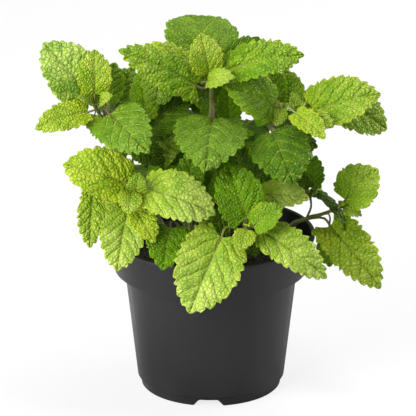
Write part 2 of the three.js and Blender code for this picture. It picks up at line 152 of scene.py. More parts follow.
@dataclass(frozen=True)
class Route:
    """A smooth way through places, as a stem or a stalk grows."""

    places: tuple[ndarray, ...]

    def _stretch(self, share: float) -> tuple[ndarray, ...]:
        """Finds the piece of the route, a cubic, that holds a share of its places.

        Args:
            share: The share, from 0 to 1.

        Returns:
            The cubic's four terms, and how far along it the share is.
        """
        spans = len(self.places) - 1
        position = min(max(share, 0.0), 1.0) * spans
        index = min(int(position), spans - 1)
        start, end = self.places[index], self.places[index + 1]
        before = self.places[index - 1] if index > 0 else 2 * start - end
        after = self.places[index + 2] if index + 2 <= spans else 2 * end - start
        gaps = [
            max(math.sqrt(np.linalg.norm(b - a)), 1e-3)
            for a, b in ((before, start), (start, end), (end, after))
        ]
        leave = (start - before) / gaps[0] - (end - before) / (gaps[0] + gaps[1])
        leave = (leave + (end - start) / gaps[1]) * gaps[1]
        arrive = (end - start) / gaps[1] - (after - start) / (gaps[1] + gaps[2])
        arrive = (arrive + (after - end) / gaps[2]) * gaps[1]
        square = 3 * (end - start) - 2 * leave - arrive
        cube = 2 * (start - end) + leave + arrive
        return start, leave, square, cube, position - index

    def point(self, share: float) -> ndarray:
        """Finds the point at a share of the route's places."""
        start, leave, square, cube, local = self._stretch(share)
        return start + local * (leave + local * (square + local * cube))

    def tangent(self, share: float) -> ndarray:
        """Finds the route's direction at a share of its places."""
        _, leave, square, cube, local = self._stretch(share)
        return unit(leave + local * (2 * square + 3 * local * cube))

    def shares_by_length(self, count: int) -> tuple[ndarray, ndarray]:
        """Walks the route in even steps of its places.

        Args:
            count: The number of steps.

        Returns:
            The shares, and the length walked at each in millimetres.
        """
        shares = np.linspace(0.0, 1.0, count + 1)
        return shares, walk(self.rings(shares)[0])

    def rings(self, shares: ndarray) -> tuple[ndarray, ndarray]:
        """Finds the points and the directions at shares of the route's places."""
        points = np.array([self.point(share) for share in shares])
        return points, np.array([self.tangent(share) for share in shares])

    def share_at(self, part: float) -> float:
        """Finds the share of the places at a part of the length."""
        shares, walked = self.shares_by_length(ROUTE_STEPS)
        return float(np.interp(part * walked[-1], walked, shares))


@dataclass(frozen=True)
class BladeOutline:
    """What every blade's outline has in common, as shares or in millimetres."""

    tip_fullness: float = 0.7
    lobe: float = 5.0
    lobed_length: float = 42.0
    lobe_reach: float = 0.11
    vein_sweep: float = 0.15

    def fullness(self, row: ndarray, belly: float) -> ndarray:
        """Gives the half width at each row, as a share of the greatest half width."""
        widest = belly / (belly + self.tip_fullness)
        row = np.clip(row, 0.0, 1.0)
        base = (row / widest) ** belly
        return base * ((1 - row) / (1 - widest)) ** self.tip_fullness


OUTLINE = BladeOutline()


@dataclass(frozen=True)
class Leaf:
    """One leaf: where its stalk grows on the stem, and its blade from base to tip.

    tilt is how far its upper face leans from straight up to the viewer, in degrees, and roll
    raises its left half. arch lifts the middle of the midrib and cup the edges, as shares of the
    length and of the half width. The smaller belly is, the nearer its widest place is to the base.
    """

    at: float
    base: Place
    tip: Place
    width: float
    tone: Tone
    tilt: float = 45.0
    arch: float = 0.08
    cup: float = 0.12
    roll: float = 0.0
    belly: float = 0.5
    side: Side = Side.FRONT

    def start(self) -> ndarray:
        """Gives the blade's base in the part's frame."""
        return seen(self.base, self.side)

    def directions(self) -> tuple[ndarray, ndarray, ndarray, float]:
        """Gives the ways along, to the left side and out of the upper face, and the length."""
        along = seen(self.tip, self.side) - self.start()
        length = float(np.linalg.norm(along))
        along = along / length
        lean = math.radians(self.tilt)
        facing = turned(np.array([0.0, -math.sin(lean), math.cos(lean)]), self.side)
        up = unit(facing - along * facing.dot(along))
        beside = np.cross(up, along)
        roll = math.radians(self.roll)
        up = up * math.cos(roll) - beside * math.sin(roll)
        return along, np.cross(up, along), up, length

    def flat(
        self, middle: ndarray, edge: ndarray, span: ndarray
    ) -> tuple[ndarray, ndarray]:
        """Lays points out on the flattened blade.

        Args:
            middle: Shares of the length where each point's side vein leaves the midrib.
            edge: Shares of the length where it reaches the edge.
            span: Shares of the half width, from -1 through the midrib to 1.

        Returns:
            Millimetres along the blade and across it.
        """
        length = self.directions()[3]
        inner = middle - OUTLINE.vein_sweep * np.sin(math.pi * middle)
        lobe = OUTLINE.lobe * min(1.0, length / OUTLINE.lobed_length)
        outer = edge - lobe * edge * np.exp(-edge / OUTLINE.lobe_reach)
        along = (inner + (outer - inner) * np.abs(span)) * length
        return along, OUTLINE.fullness(edge, self.belly) * span * self.width / 2

    def surface(self, flat_x: ndarray, flat_y: ndarray, lift: ndarray) -> ndarray:
        """Bends the flattened blade into its place on the plant.

        Args:
            flat_x: Millimetres along the blade.
            flat_y: Millimetres across it.
            lift: Millimetres to raise each point out of the upper face.

        Returns:
            An array of points in millimetres.
        """
        along, side, up, length = self.directions()
        x = flat_x / length
        bow = self.arch * length * 4 * x * (1 - x)
        bow += self.cup * self.width / 2 * np.abs(2 * flat_y / self.width) ** 1.5
        return (
            self.start()
            + np.outer(flat_x, along)
            + np.outer(flat_y, side)
            + np.outer(bow + lift, up)
        )


@dataclass(frozen=True)
class Stem:
    """One stem, its leaves, and its radius where it begins."""

    route: Route
    leaves: tuple[Leaf, ...]
    radius: float
    tip_radius: float


STEM_RADIUS = 1.5
STEM_TIP_RADIUS = 0.95
BRANCH_RADIUS = 0.7
BRANCH_TIP_RADIUS = 0.55
ROOT_HEIGHT = 70.0
SOIL_TOP = 83.1


def rooted(
    foot: tuple[float, float], way: list[Place], leaves: list[Leaf], side: Side = Side.FRONT
) -> Stem:
    """Makes a stem that stands in the soil.

    Args:
        foot: Where it stands, in millimetres from the pot's axis.
        way: The places that it grows through above the soil.
        leaves: Its leaves.
        side: The side that its places are seen from.

    Returns:
        The stem.
    """
    x, y = foot
    ground = [np.array([x, y, ROOT_HEIGHT]), np.array([x, y, SOIL_TOP])]
    route = Route(tuple(ground + [seen(place, side) for place in way]))
    return Stem(route, tuple(leaves), STEM_RADIUS, STEM_TIP_RADIUS)


def branch(way: list[Place], leaves: list[Leaf]) -> Stem:
    """Makes a stem that grows out of another one."""
    route = Route(tuple(seen(place) for place in way))
    return Stem(route, tuple(leaves), BRANCH_RADIUS, BRANCH_TIP_RADIUS)


def behind(at: float, base: Place, tip: Place, width: float, tone: Tone, **shape: float) -> Leaf:
    """Makes a leaf that is placed as seen from behind."""
    return Leaf(at, base, tip, width, tone, side=Side.BEHIND, **shape)


def from_left(at: float, base: Place, tip: Place, width: float, tone: Tone) -> Leaf:
    """Makes a leaf that is placed as seen from the plant's left."""
    return Leaf(at, base, tip, width, tone, side=Side.LEFT)


def from_right(at: float, base: Place, tip: Place, width: float, tone: Tone) -> Leaf:
    """Makes a leaf that is placed as seen from the plant's right."""
    return Leaf(at, base, tip, width, tone, side=Side.RIGHT)


SHOOTS: dict[str, list[Stem]] = {
    "shoot_top_left": [rooted((-22, -4), [(-40, 112, -8), (-58, 144, -6), (-67, 160, -5)], [
        Leaf(0.97, (-69, 163, -6), (-95, 194, 4), 32, Tone.FROSTY),
        Leaf(0.97, (-66, 165, -8), (-66, 190, 0), 20, Tone.YOUNG),
        Leaf(0.9, (-71, 161, 0), (-91.5, 171, 4), 17, Tone.FRESH),
        Leaf(0.95, (-70, 154.5, -17), (-99, 145.5, -24), 18, Tone.YOUNG),
        Leaf(0.95, (-66, 153, -14), (-68, 144, -21), 11, Tone.YOUNG),
        Leaf(1, (-63, 160, -12), (-56, 164, -18), 8, Tone.YOUNG),
        Leaf(1, (-67, 160, -10), (-75, 163, -16), 7, Tone.YOUNG),
        Leaf(0.9, (-60, 161, 4), (-55, 183, 10), 19, Tone.DULL),
        Leaf(0.82, (-54, 160, 9), (-44.5, 181, 16), 17, Tone.GREEN),
        Leaf(0.82, (-57, 153, -20), (-35.5, 131.5, -56), 31.5, Tone.GREEN, tilt=55, cup=-0.1, belly=0.34),
        behind(0.82, (54, 150, -20), (60, 124, -46), 32, Tone.GREEN),
        from_left(0.9, (-18, 140, -62), (-26, 118, -84), 20, Tone.FRESH),
        from_left(0.6, (-4, 114, -48), (-8, 92, -62), 24, Tone.GREEN),
        from_left(0.25, (8, 92, -48), (8, 68, -68), 27, Tone.FRESH),
    ])],
    "shoot_left": [rooted((-22, -24), [(-32, 88, -32), (-41, 104, -39), (-43, 112, -40)], [
        Leaf(0.98, (-48, 114, -42), (-83, 125, -38), 31, Tone.BRIGHT),
        Leaf(0.98, (-35, 111, -44), (2, 97, -54), 30, Tone.SUNNY),
        Leaf(1, (-42, 108, -45), (-40.5, 120, -49), 12, Tone.YOUNG),
        Leaf(1, (-45, 109, -48), (-46, 97, -58), 14, Tone.YOUNG),
        Leaf(0.86, (-47, 99, -42), (-53, 65, -60), 26, Tone.SUNNY),
        Leaf(0.9, (-42, 99, -46), (-32, 81, -60), 15, Tone.BRIGHT),
        Leaf(0.8, (-67, 109, -26), (-69, 78, -34), 16, Tone.FRESH),
    ])],
    "shoot_top": [rooted((0, 0), [(-2, 120, 2), (0, 156, 0), (0, 176, 0)], [
        Leaf(0.99, (-1.5, 182, 4), (-13, 211.5, 39), 44.5, Tone.GREEN, arch=0.19, cup=-0.04, roll=15),
        Leaf(0.99, (-1, 177, -7), (-6, 199, -4), 20, Tone.YOUNG),
        Leaf(0.97, (-9, 170, -10), (-51.5, 189.3, -15), 25.5, Tone.RUGGED, cup=-0.12),
        Leaf(0.97, (8, 178.5, -6), (52, 187, -11), 24.5, Tone.RUGGED, belly=0.62),
        Leaf(0.97, (-2, 172, -11), (13, 174, -21), 13, Tone.FRESH),
        Leaf(0.97, (-10, 180, -2), (-37, 193, -4), 13, Tone.FRESH),
        Leaf(0.97, (9, 183.5, -1), (31, 195, 2), 17, Tone.DEEP),
        Leaf(0.9, (-26, 180, 3), (-32, 158.5, -3), 22, Tone.GREEN),
        Leaf(0.88, (1, 151, -15), (-3, 122, -60), 42, Tone.GREEN, tilt=55, cup=-0.12, belly=0.4),
        behind(0.78, (10, 141, -15), (10, 119, -52), 34, Tone.GREEN),
        Leaf(0.4, (8, 98, -31), (-1, 83, -40), 18, Tone.DEEP),
    ])],
    "shoot_inner": [rooted((-12, 16), [(-26, 112, 14), (-36, 136, 10), (-40, 148, 8)], [
        Leaf(0.98, (-37, 152, 3), (-40, 179, 8), 17, Tone.DULL),
        Leaf(0.9, (-35, 131, 3), (-16, 138.5, -4), 28, Tone.FRESH),
        Leaf(0.85, (-44, 138, -8), (-27, 122, -14), 17, Tone.DEEP),
        Leaf(0.98, (-36, 146, 8), (-12, 164, 8), 26, Tone.DEEP),
        Leaf(0.75, (-24, 116, 12), (-2, 124, 14), 24, Tone.SHADED),
        Leaf(0.8, (-29, 128, 7), (-8, 134, 9), 15, Tone.SHADED),
    ])],
    "shoot_right": [rooted((18, 0), [(26, 118, 4), (36, 142, 0), (40, 156, 2)], [
        Leaf(0.97, (35, 158.5, -6), (8.5, 169, -14), 28.5, Tone.DULL),
        Leaf(1, (44.5, 160, 9), (43, 179.5, 15), 19, Tone.RUGGED),
        Leaf(0.9, (35, 143, -16), (46, 114, -56), 35, Tone.DEEP, tilt=55, cup=-0.12, belly=0.4),
        behind(0.9, (-36, 144, -14), (-44, 118, -42), 32, Tone.GREEN),
        Leaf(0.8, (44, 139, -8), (60.5, 135, -12), 15, Tone.DEEP),
        Leaf(0.7, (21, 135, -8), (37, 111, -12), 24, Tone.DEEP),
        Leaf(0.6, (29, 108, -24), (55, 106, -32), 19, Tone.SUNNY),
        Leaf(0.97, (40, 157, -5), (37, 147, -12), 10, Tone.YOUNG),
        Leaf(0.99, (38, 163, 6), (34.5, 180.5, 11), 14, Tone.DULL),
    ])],
    "shoot_top_right": [rooted((28, 10), [(42, 112, 8), (50, 140, 2), (50, 156, -2)], [
        Leaf(0.98, (58, 155.5, -8), (95.5, 165, -12), 31.5, Tone.FRESH, belly=0.42),
        Leaf(0.94, (68, 163, 5), (100.7, 145.5, 7), 28, Tone.FRESH),
        Leaf(0.98, (48, 154, -18), (64, 140, -36), 15, Tone.BRIGHT),
        Leaf(0.75, (-25, 134, -58), (-28, 117, -78), 22, Tone.GREEN, side=Side.BACK_RIGHT),
        from_right(0.88, (17, 124, -47), (13, 98, -59), 24, Tone.GREEN),
        from_right(0.45, (18, 102, -48), (20, 82, -64), 26, Tone.FRESH),
        Leaf(0.98, (56, 153, -19), (69, 146, -28), 11, Tone.FRESH),
        Leaf(1, (50, 155, -2), (46, 166, -2), 8, Tone.YOUNG),
        Leaf(0.98, (52, 158, 4), (58, 168, 9), 10, Tone.GREEN),
    ])],
    "shoot_front": [rooted((10, -26), [(13, 80, -36), (18, 87, -46), (21, 90, -50)], [
        Leaf(0.98, (20, 94, -51), (9, 125, -39), 28, Tone.DARK),
        Leaf(0.98, (24, 90, -55), (40, 101, -54), 17, Tone.RUGGED),
        Leaf(0.98, (29, 87, -50), (65, 61, -60), 23, Tone.SUNNY),
        Leaf(0.98, (20, 88, -56), (17, 77, -64), 13, Tone.YOUNG),
        Leaf(0.9, (23, 82, -46), (25, 73, -50), 11, Tone.DEEP),
        Leaf(0.9, (6, 84, -54), (-12, 41.5, -74), 38, Tone.SUNNY, tilt=60),
    ])],
    "shoot_front_left": [rooted((-8, -34), [(-10, 78, -38), (-14, 86, -41)], [
        Leaf(0.98, (-23, 89, -46), (-27, 66, -65), 24, Tone.DARK, tilt=60),
        Leaf(0.98, (-14, 104, -30), (-10, 134, -22), 18, Tone.SHADED),
        Leaf(0.9, (-22, 106, -26), (-35, 124, -20), 14, Tone.SHADED),
        Leaf(0.9, (-5, 102, -27), (2, 122, -21), 17, Tone.SHADED),
    ])],
    "shoot_low_right": [
        rooted((40, 2), [(47, 91, -2), (56, 94.5, -5), (66, 97.5, -8), (74, 101, -10)], [
            Leaf(0.98, (77, 105, -10), (95, 122.5, -7), 27.5, Tone.FRESH),
            Leaf(1, (76, 100, -12), (86, 96, -17), 8, Tone.YOUNG),
            Leaf(0.66, (68.5, 90, -10), (97, 54.7, -24), 27, Tone.FRESH, tilt=55, belly=0.42),
            Leaf(0.47, (68, 88.5, -2), (68.5, 66.5, -4), 15, Tone.DULL),
        ]),
        branch([(55, 94.5, -4), (57.5, 101, -4), (57, 107, -3)], [
            Leaf(0.98, (58, 112, -4), (60, 130, -2), 13, Tone.DULL),
            Leaf(0.98, (54, 110, -6), (48, 120, -9), 9, Tone.DEEP),
            Leaf(0.98, (58.5, 109, -6), (77, 88.5, -14), 13, Tone.DEEP, tilt=0, arch=0.12),
        ]),
    ],
    "shoot_back_right": [
        rooted((20, 28), [(-30, 90, -34), (-38, 106, -40), (-40, 114, -42)], [
            behind(0.98, (-45, 115, -45), (-72, 124, -46), 27, Tone.FRESH),
            behind(0.98, (-34, 112, -46), (2, 100, -56), 30, Tone.GREEN),
            behind(1, (-39, 115, -45), (-36, 125, -48), 10, Tone.YOUNG),
            behind(1, (-41, 112, -46), (-44, 102, -54), 11, Tone.YOUNG),
            behind(0.86, (-44, 101, -46), (-50, 70, -62), 24, Tone.FRESH),
            behind(0.9, (-38, 101, -50), (-28, 82, -62), 16, Tone.GREEN),
        ], Side.BEHIND),
    ],
    "shoot_back_left": [
        rooted((-12, 30), [(15, 80, -38), (20, 89, -47), (22, 92, -50)], [
            behind(0.98, (21, 99, -51), (17, 117, -44), 24, Tone.GREEN),
            behind(0.98, (28, 94, -57), (44, 99, -58), 18, Tone.YOUNG),
            behind(0.98, (30, 87, -52), (62, 64, -60), 22, Tone.GREEN),
            behind(0.98, (21, 88, -56), (18, 78, -66), 12, Tone.YOUNG),
            behind(0.9, (8, 86, -56), (-10, 44, -74), 38, Tone.SUNNY, tilt=60),
        ], Side.BEHIND),
    ],
    "shoot_far_left": [
        rooted((-34, 12), [(46, 92, -18), (54, 106, -23), (56, 112, -26)], [
            behind(0.98, (61, 108, -30), (80, 97, -36), 22, Tone.FRESH),
            behind(0.98, (52, 114, -28), (32, 126, -28), 24, Tone.GREEN),
            behind(0.86, (60, 102, -30), (68, 74, -44), 24, Tone.GREEN),
            behind(0.86, (49, 101, -28), (38, 82, -38), 20, Tone.FRESH),
            behind(1, (58, 116, -27), (63, 124, -30), 9, Tone.YOUNG),
        ], Side.BEHIND),
    ],
    "shoot_middle": [
        rooted((10, 22), [(14, 112, 18), (14, 134, 16), (11, 152, 16), (8, 169, 18)], [
            behind(0.98, (-12, 159, -22), (-46, 168, -20), 28, Tone.GREEN),
            behind(0.98, (-3, 159, -22), (34, 170, -18), 28, Tone.GREEN),
            behind(1, (-8, 162, -21), (-9, 175, -20), 12, Tone.YOUNG),
            behind(0.9, (-15, 150, -26), (-25, 124, -50), 28, Tone.FRESH),
            Leaf(0.7, (5, 158, 13), (-10, 174, 13), 23, Tone.SHADED),
            Leaf(0.7, (25, 151, 12), (39, 160, 8), 15, Tone.SHADED),
            Leaf(0.55, (20, 137, 18), (38, 129, 17), 19, Tone.SHADED),
            Leaf(0.55, (14, 128, 12), (8, 106, 4), 24, Tone.SHADED),
            Leaf(0.85, (6, 156, 17), (-19, 165.5, 19), 18, Tone.SHADED),
            Leaf(0.62, (13, 143, 11), (20, 122, 3), 24, Tone.SHADED),
            Leaf(0.8, (11, 150, 14), (9, 171, 12), 15, Tone.SHADED),
        ]),
    ],
}


def deselect_all() -> None:
    """Leaves object mode with nothing selected."""
    if bpy.context.object and bpy.context.object.mode != "OBJECT":
        bpy.ops.object.mode_set(mode="OBJECT")
    bpy.ops.object.select_all(action="DESELECT")


def pick(piece: Object) -> None:
    """Makes a piece the only one that is selected, and the active one."""
    deselect_all()
    piece.select_set(True)
    bpy.context.view_layer.objects.active = piece


def rest_place(piece: Object) -> None:
    """Puts the object's place, turn and scale into its mesh."""
    pick(piece)
    bpy.ops.object.transform_apply(location=True, rotation=True, scale=True)


def apply_modifiers(piece: Object) -> None:
    """Applies every modifier of a piece, in order."""
    pick(piece)
    for modifier in list(piece.modifiers):
        bpy.ops.object.modifier_apply(modifier=modifier.name)


def joined(pieces: list[Object], name: str) -> Object:
    """Joins pieces into one.

    Args:
        pieces: The pieces. The first one gives the materials' order.
        name: The name of the whole.

    Returns:
        The joined piece.
    """
    pick(pieces[0])
    for piece in pieces[1:]:
        piece.select_set(True)
    bpy.ops.object.join()
    pieces[0].name = name
    pieces[0].data.name = name
    return pieces[0]


def points_of(mesh: Mesh) -> ndarray:
    """Reads a mesh's vertices as an array of points."""
    flat = np.empty(len(mesh.vertices) * 3)
    mesh.vertices.foreach_get("co", flat)
    return flat.reshape(-1, 3)


def place_points(mesh: Mesh, points: ndarray) -> None:
    """Moves a mesh's vertices to points in millimetres."""
    mesh.vertices.foreach_set("co", (points * MM).ravel())
    mesh.update()


def mark(mesh: Mesh, name: str, *values: ndarray | float) -> None:
    """Stores three numbers for every vertex.

    Args:
        mesh: The mesh.
        name: The attribute's name.
        *values: The three numbers, each an array or one number for all.
    """
    count = len(mesh.vertices)
    columns = [np.broadcast_to(np.asarray(value, dtype=float), (count,)) for value in values]
    layer = mesh.attributes.new(name, "FLOAT_VECTOR", "POINT")
    layer.data.foreach_set("vector", np.stack(columns, axis=1).ravel())


@dataclass
class Workbench:
    """Keeps the plain sheets and rods that leaves and stems are shaped from."""

    blanks: dict[tuple[str, int, int], Mesh] = field(default_factory=dict)

    def sheet(self, rows: int, columns: int) -> Mesh:
        """Copies a flat sheet whose x runs from 0 to 1 and y from -1 to 1.

        Args:
            rows: Faces along x.
            columns: Faces along y.

        Returns:
            A mesh of its own.
        """
        key = ("sheet", rows, columns)
        if key not in self.blanks:
            deselect_all()
            bpy.ops.mesh.primitive_grid_add(x_subdivisions=rows, y_subdivisions=columns, size=1)
            blank = bpy.context.object
            blank.location = (0.5, 0, 0)
            blank.scale = (1, 2, 1)
            rest_place(blank)
            self.blanks[key] = self._kept(blank)
        return self.blanks[key].copy()

    def rod(self, rings: int, sides: int) -> Mesh:
        """Copies a closed rod whose z runs from 0 to 1, with even rings along it.

        Args:
            rings: Faces along its length.
            sides: Faces round it.

        Returns:
            A mesh of its own.
        """
        key = ("rod", rings, sides)
        if key not in self.blanks:
            deselect_all()
            bpy.ops.mesh.primitive_cylinder_add(vertices=sides, radius=1, depth=1)
            blank = bpy.context.object
            blank.location = (0, 0, 0.5)
            rest_place(blank)
            bpy.ops.object.mode_set(mode="EDIT")
            bpy.ops.mesh.select_mode(type="EDGE")
            bpy.ops.mesh.select_all(action="DESELECT")
            bpy.ops.object.mode_set(mode="OBJECT")
            for edge in blank.data.edges:
                low, high = (blank.data.vertices[index].co.z for index in edge.vertices)
                edge.select = abs(high - low) > 0.5
            bpy.ops.object.mode_set(mode="EDIT")
            bpy.ops.mesh.subdivide(number_cuts=rings - 1)
            bpy.ops.object.mode_set(mode="OBJECT")
            self.blanks[key] = self._kept(blank)
        return self.blanks[key].copy()

    def _kept(self, blank: Object) -> Mesh:
        """Keeps a blank's mesh and removes its object."""
        mesh = blank.data
        mesh.use_fake_user = True
        bpy.data.objects.remove(blank)
        return mesh

    def clear(self) -> None:
        """Removes the blanks."""
        for mesh in self.blanks.values():
            bpy.data.meshes.remove(mesh)
        self.blanks.clear()


BENCH = Workbench()


def linked(data: bpy.types.ID, name: str) -> Object:
    """Puts a mesh, lamp or camera in the scene as an object."""
    made = bpy.data.objects.new(name, data)
    bpy.context.scene.collection.objects.link(made)
    return made


def added(mesh: Mesh, name: str, materials: list[Material]) -> Object:
    """Puts a mesh in the scene as an object with its materials."""
    piece = linked(mesh, name)
    for material in materials:
        mesh.materials.append(material)
    return piece


def taken(blank: Object) -> tuple[ndarray, list[tuple[int, ...]]]:
    """Takes a small piece's points and faces, and removes it.

    Args:
        blank: The piece.

    Returns:
        Its points, and its faces by their numbers.
    """
    points = points_of(blank.data)
    faces = [tuple(polygon.vertices) for polygon in blank.data.polygons]
    bpy.data.objects.remove(blank)
    return points, faces


def copies(
    clouds: list[ndarray], faces: list[tuple[int, ...]], name: str, material: Material
) -> Object:
    """Makes one piece out of many copies of a small one.

    Args:
        clouds: Each copy's points, in millimetres.
        faces: One copy's faces, by its points' numbers.
        name: The name of the whole.
        material: Its material.

    Returns:
        The piece.
    """
    polygons = [
        tuple(corner + index * len(cloud) for corner in face)
        for index, cloud in enumerate(clouds)
        for face in faces
    ]
    mesh = bpy.data.meshes.new(name)
    mesh.from_pydata((np.concatenate(clouds) * MM).tolist(), [], polygons)
    return added(mesh, name, [material])


def rod_along(
    points: ndarray, tangents: ndarray, radii: ndarray, sides: int, square: float
) -> tuple[Mesh, ndarray, ndarray]:
    """Shapes a closed rod along points.

    Args:
        points: Where each ring is, in millimetres.
        tangents: The rod's direction at each ring.
        radii: The rod's radius at each ring, in millimetres.
        sides: Faces round it.
        square: How far its four corners stand out, as a share of the radius.

    Returns:
        The mesh, and each vertex's ring number and angle.
    """
    rings = len(points) - 1
    mesh = BENCH.rod(rings, sides)
    blank = points_of(mesh)
    ring = np.rint(blank[:, 2] * rings).astype(int)
    angle = np.arctan2(blank[:, 1], blank[:, 0])
    normal = np.array([0.9, 0.3, 0.2])
    normals, binormals = [], []
    for tangent in tangents:
        normal = unit(normal - tangent * normal.dot(tangent))
        normals.append(normal)
        binormals.append(np.cross(tangent, normal))
    reach = radii[ring] * (1 + square * np.cos(4 * angle))
    ways = (
        np.array(normals)[ring] * np.cos(angle)[:, None]
        + np.array(binormals)[ring] * np.sin(angle)[:, None]
    )
    place_points(mesh, points[ring] + ways * reach[:, None])
    return mesh, ring, angle


PATTERN_RANGE = 40.0
QUILT_TILE = 64


def quilt(along: ndarray, across: ndarray, rng: Generator) -> ndarray:
    """Draws the raised cells between a leaf's fine veins.

    Args:
        along: Each point's place along the leaf, in cells.
        across: Each point's place across it, in cells.
        rng: The leaf's own random numbers.

    Returns:
        0 on a vein between two cells, rising to about 1 in the middle of a cell.
    """
    middles = 0.12 + 0.76 * rng.random((QUILT_TILE, QUILT_TILE, 2))
    column, line = np.floor(along).astype(int), np.floor(across).astype(int)
    nearest = np.full(along.shape, np.inf)
    second = np.full(along.shape, np.inf)
    for step in (-1, 0, 1):
        for slip in (-1, 0, 1):
            a, b = column + step, line + slip
            middle = middles[a % QUILT_TILE, b % QUILT_TILE]
            distance = np.hypot(a + middle[:, 0] - along, b + middle[:, 1] - across)
            second = np.where(distance < nearest, nearest, np.minimum(second, distance))
            nearest = np.minimum(nearest, distance)
    return np.clip(second - nearest, 0.0, 1.0)


@dataclass(frozen=True)
class FlatBlade:
    """A blade laid flat. Each array holds one number for every point.

    size is the blade's size as a share of the largest. share runs from 0 at the base to 1 at the
    tip, and span from -1 at one edge through the midrib to 1 at the other. tooth counts the teeth
    from the base, x and y are millimetres along and across, and border rises to 1 on the edge.
    """

    size: float
    share: ndarray
    span: ndarray
    tooth: ndarray
    x: ndarray
    y: ndarray
    border: ndarray

    def out(self) -> ndarray:
        """Gives the distance from the midrib as a share of the half width."""
        return np.abs(self.span)

    def away(self) -> ndarray:
        """Gives the distance from the midrib in millimetres."""
        return np.abs(self.y)

    def inside(self) -> ndarray:
        """Gives 0 on the midrib, 1 between it and the edge, and less again near the edge."""
        return smoothstep(0.0, 0.2, self.out()) * (1 - 0.65 * smoothstep(0.6, 1.0, self.out()))


@dataclass(frozen=True)
class BladeForm:
    """The teeth and the relief of a blade, in millimetres on the largest leaves.

    The rows are counted in teeth: plain_teeth of them along the base's lobes have no teeth, and
    the last one ends at its peak, which is the leaf's tip. tooth_line is the share of a tooth's
    depth that lies inside the smooth outline. The last side veins fan out at the base, where
    basal_veins of them are counted below the first pair.
    """

    largest: float = 50.0
    thickness: float = 0.45
    merge_distance: float = 0.01
    columns_per_millimetre: float = 0.55
    half_columns: tuple[int, int] = (7, 19)
    edge_steps: int = 600
    tooth_pitch: float = 5.3
    tooth_count: tuple[int, int] = (6, 12)
    tooth_slots: int = 14
    tooth_depth: float = 2.1
    tooth_line: float = 0.72
    tooth_onset: float = 1.2
    tooth_slip: float = 0.16
    tooth_unevenness: float = 0.4
    least_tooth_depth: float = 0.5
    tooth_rows: int = 8
    peak_row: int = 6
    plain_teeth: int = 2
    border_base: float = 0.5
    border_teeth: float = 2.4
    midrib_ease: float = 0.3
    vein_pairs: float = 4.8
    vein_slant: float = 1.0
    vein_curve: float = 0.22
    vein_wander: float = 0.085
    vein_gap: float = 0.75
    basal_fan: float = 0.75
    basal_gap: float = 0.8
    basal_veins: float = 2.6
    least_fan: float = 0.4
    pillow: float = 1.3
    pillow_gap: float = 2.5
    dome: float = 0.35
    coarse_cell: float = 3.2
    least_coarse_cell: float = 1.35
    least_cell: float = 1.3
    midrib_depth: float = 0.5
    ruffle: float = 0.8
    ruffle_waves: float = 2.2
    tip_droop: float = 1.2
    droop_start: float = 0.6

    def teeth(
        self, leaf: Leaf, size: float, rng: Generator
    ) -> tuple[int, ndarray, ndarray, ndarray]:
        """Draws one side of the toothed edge.

        Args:
            leaf: The leaf.
            size: Its size as a share of the largest.
            rng: The leaf's own random numbers.

        Returns:
            The number of rows, the edge's shares of the length at each row end, and how far each
            row end moves along the blade and across it, in millimetres.
        """
        fine = np.linspace(0, 1, self.edge_steps)
        x, y = leaf.flat(fine, fine, np.ones(self.edge_steps))
        walked = np.concatenate([[0.0], np.cumsum(np.hypot(np.diff(x), np.diff(y)))])
        count = int(np.clip(round(walked[-1] / self.tooth_pitch), *self.tooth_count))
        rows = self.tooth_rows * count + self.peak_row
        steps = np.arange(rows + 1)
        passed = steps / self.tooth_rows
        phase = 2 * math.pi * rng.random(2)
        slip = np.sin(1.9 * passed + phase[0]) + np.sin(3.1 * passed + phase[1])
        slip *= self.tooth_slip * np.sin(math.pi * steps / rows)
        edge = np.interp((steps / rows + slip / count) * walked[-1], walked, fine)
        part = np.mod(steps, self.tooth_rows)
        climb = np.minimum(part / self.peak_row, 1.0)
        rise = 0.8 * np.sin(math.pi / 2 * climb) ** 0.75 + 0.2 * climb
        fall = np.clip((self.tooth_rows - part) / (self.tooth_rows - self.peak_row), 0, 1)
        started = smoothstep(self.plain_teeth - self.tooth_onset, self.plain_teeth, passed)
        depth = self.least_tooth_depth + (self.tooth_depth - self.least_tooth_depth) * size
        out = depth * (np.minimum(rise, fall) - self.tooth_line) * started
        x, y = leaf.flat(edge, edge, np.ones(rows + 1))
        slope_x, slope_y = np.gradient(x), np.gradient(y)
        steep = np.hypot(slope_x, slope_y)
        return rows, edge, -out * slope_y / steep, out * slope_x / steep

    def flatten(self, leaf: Leaf, rng: Generator) -> tuple[Mesh, FlatBlade]:
        """Lays out a flat toothed blade.

        Args:
            leaf: The leaf.
            rng: The leaf's own random numbers.

        Returns:
            A plain sheet's mesh, and where each of its points comes to lie on the flat blade.
        """
        half = leaf.width / 2
        size = min(1.0, leaf.directions()[3] / self.largest)
        rows, edge, shift_x, shift_y = self.teeth(leaf, size, rng)
        columns = 2 * int(np.clip(leaf.width * self.columns_per_millimetre, *self.half_columns))
        mesh = BENCH.sheet(rows, columns)
        sheet = points_of(mesh)
        row = np.rint(sheet[:, 0] * rows).astype(int)
        span = sheet[:, 1]
        share = row / rows
        tooth = row / self.tooth_rows
        middle = share - self.midrib_ease / (2 * math.pi) * np.sin(2 * math.pi * share)
        x, y = leaf.flat(middle, edge[row], span)
        border_width = self.border_base + self.border_teeth * self.tooth_depth * size
        border = np.clip(1 - (1 - np.abs(span)) * half / border_width, 0, 1)
        uneven = 1 + self.tooth_unevenness * (rng.random((2, self.tooth_slots)) - 0.5)
        left, right = (np.interp(tooth, np.arange(self.tooth_slots), side) for side in uneven)
        bite = border * np.where(span < 0, left, right)
        x = x + shift_x[row] * bite
        y = y + shift_y[row] * bite * np.sign(span)
        return mesh, FlatBlade(size, share, span, tooth, x, y, border)

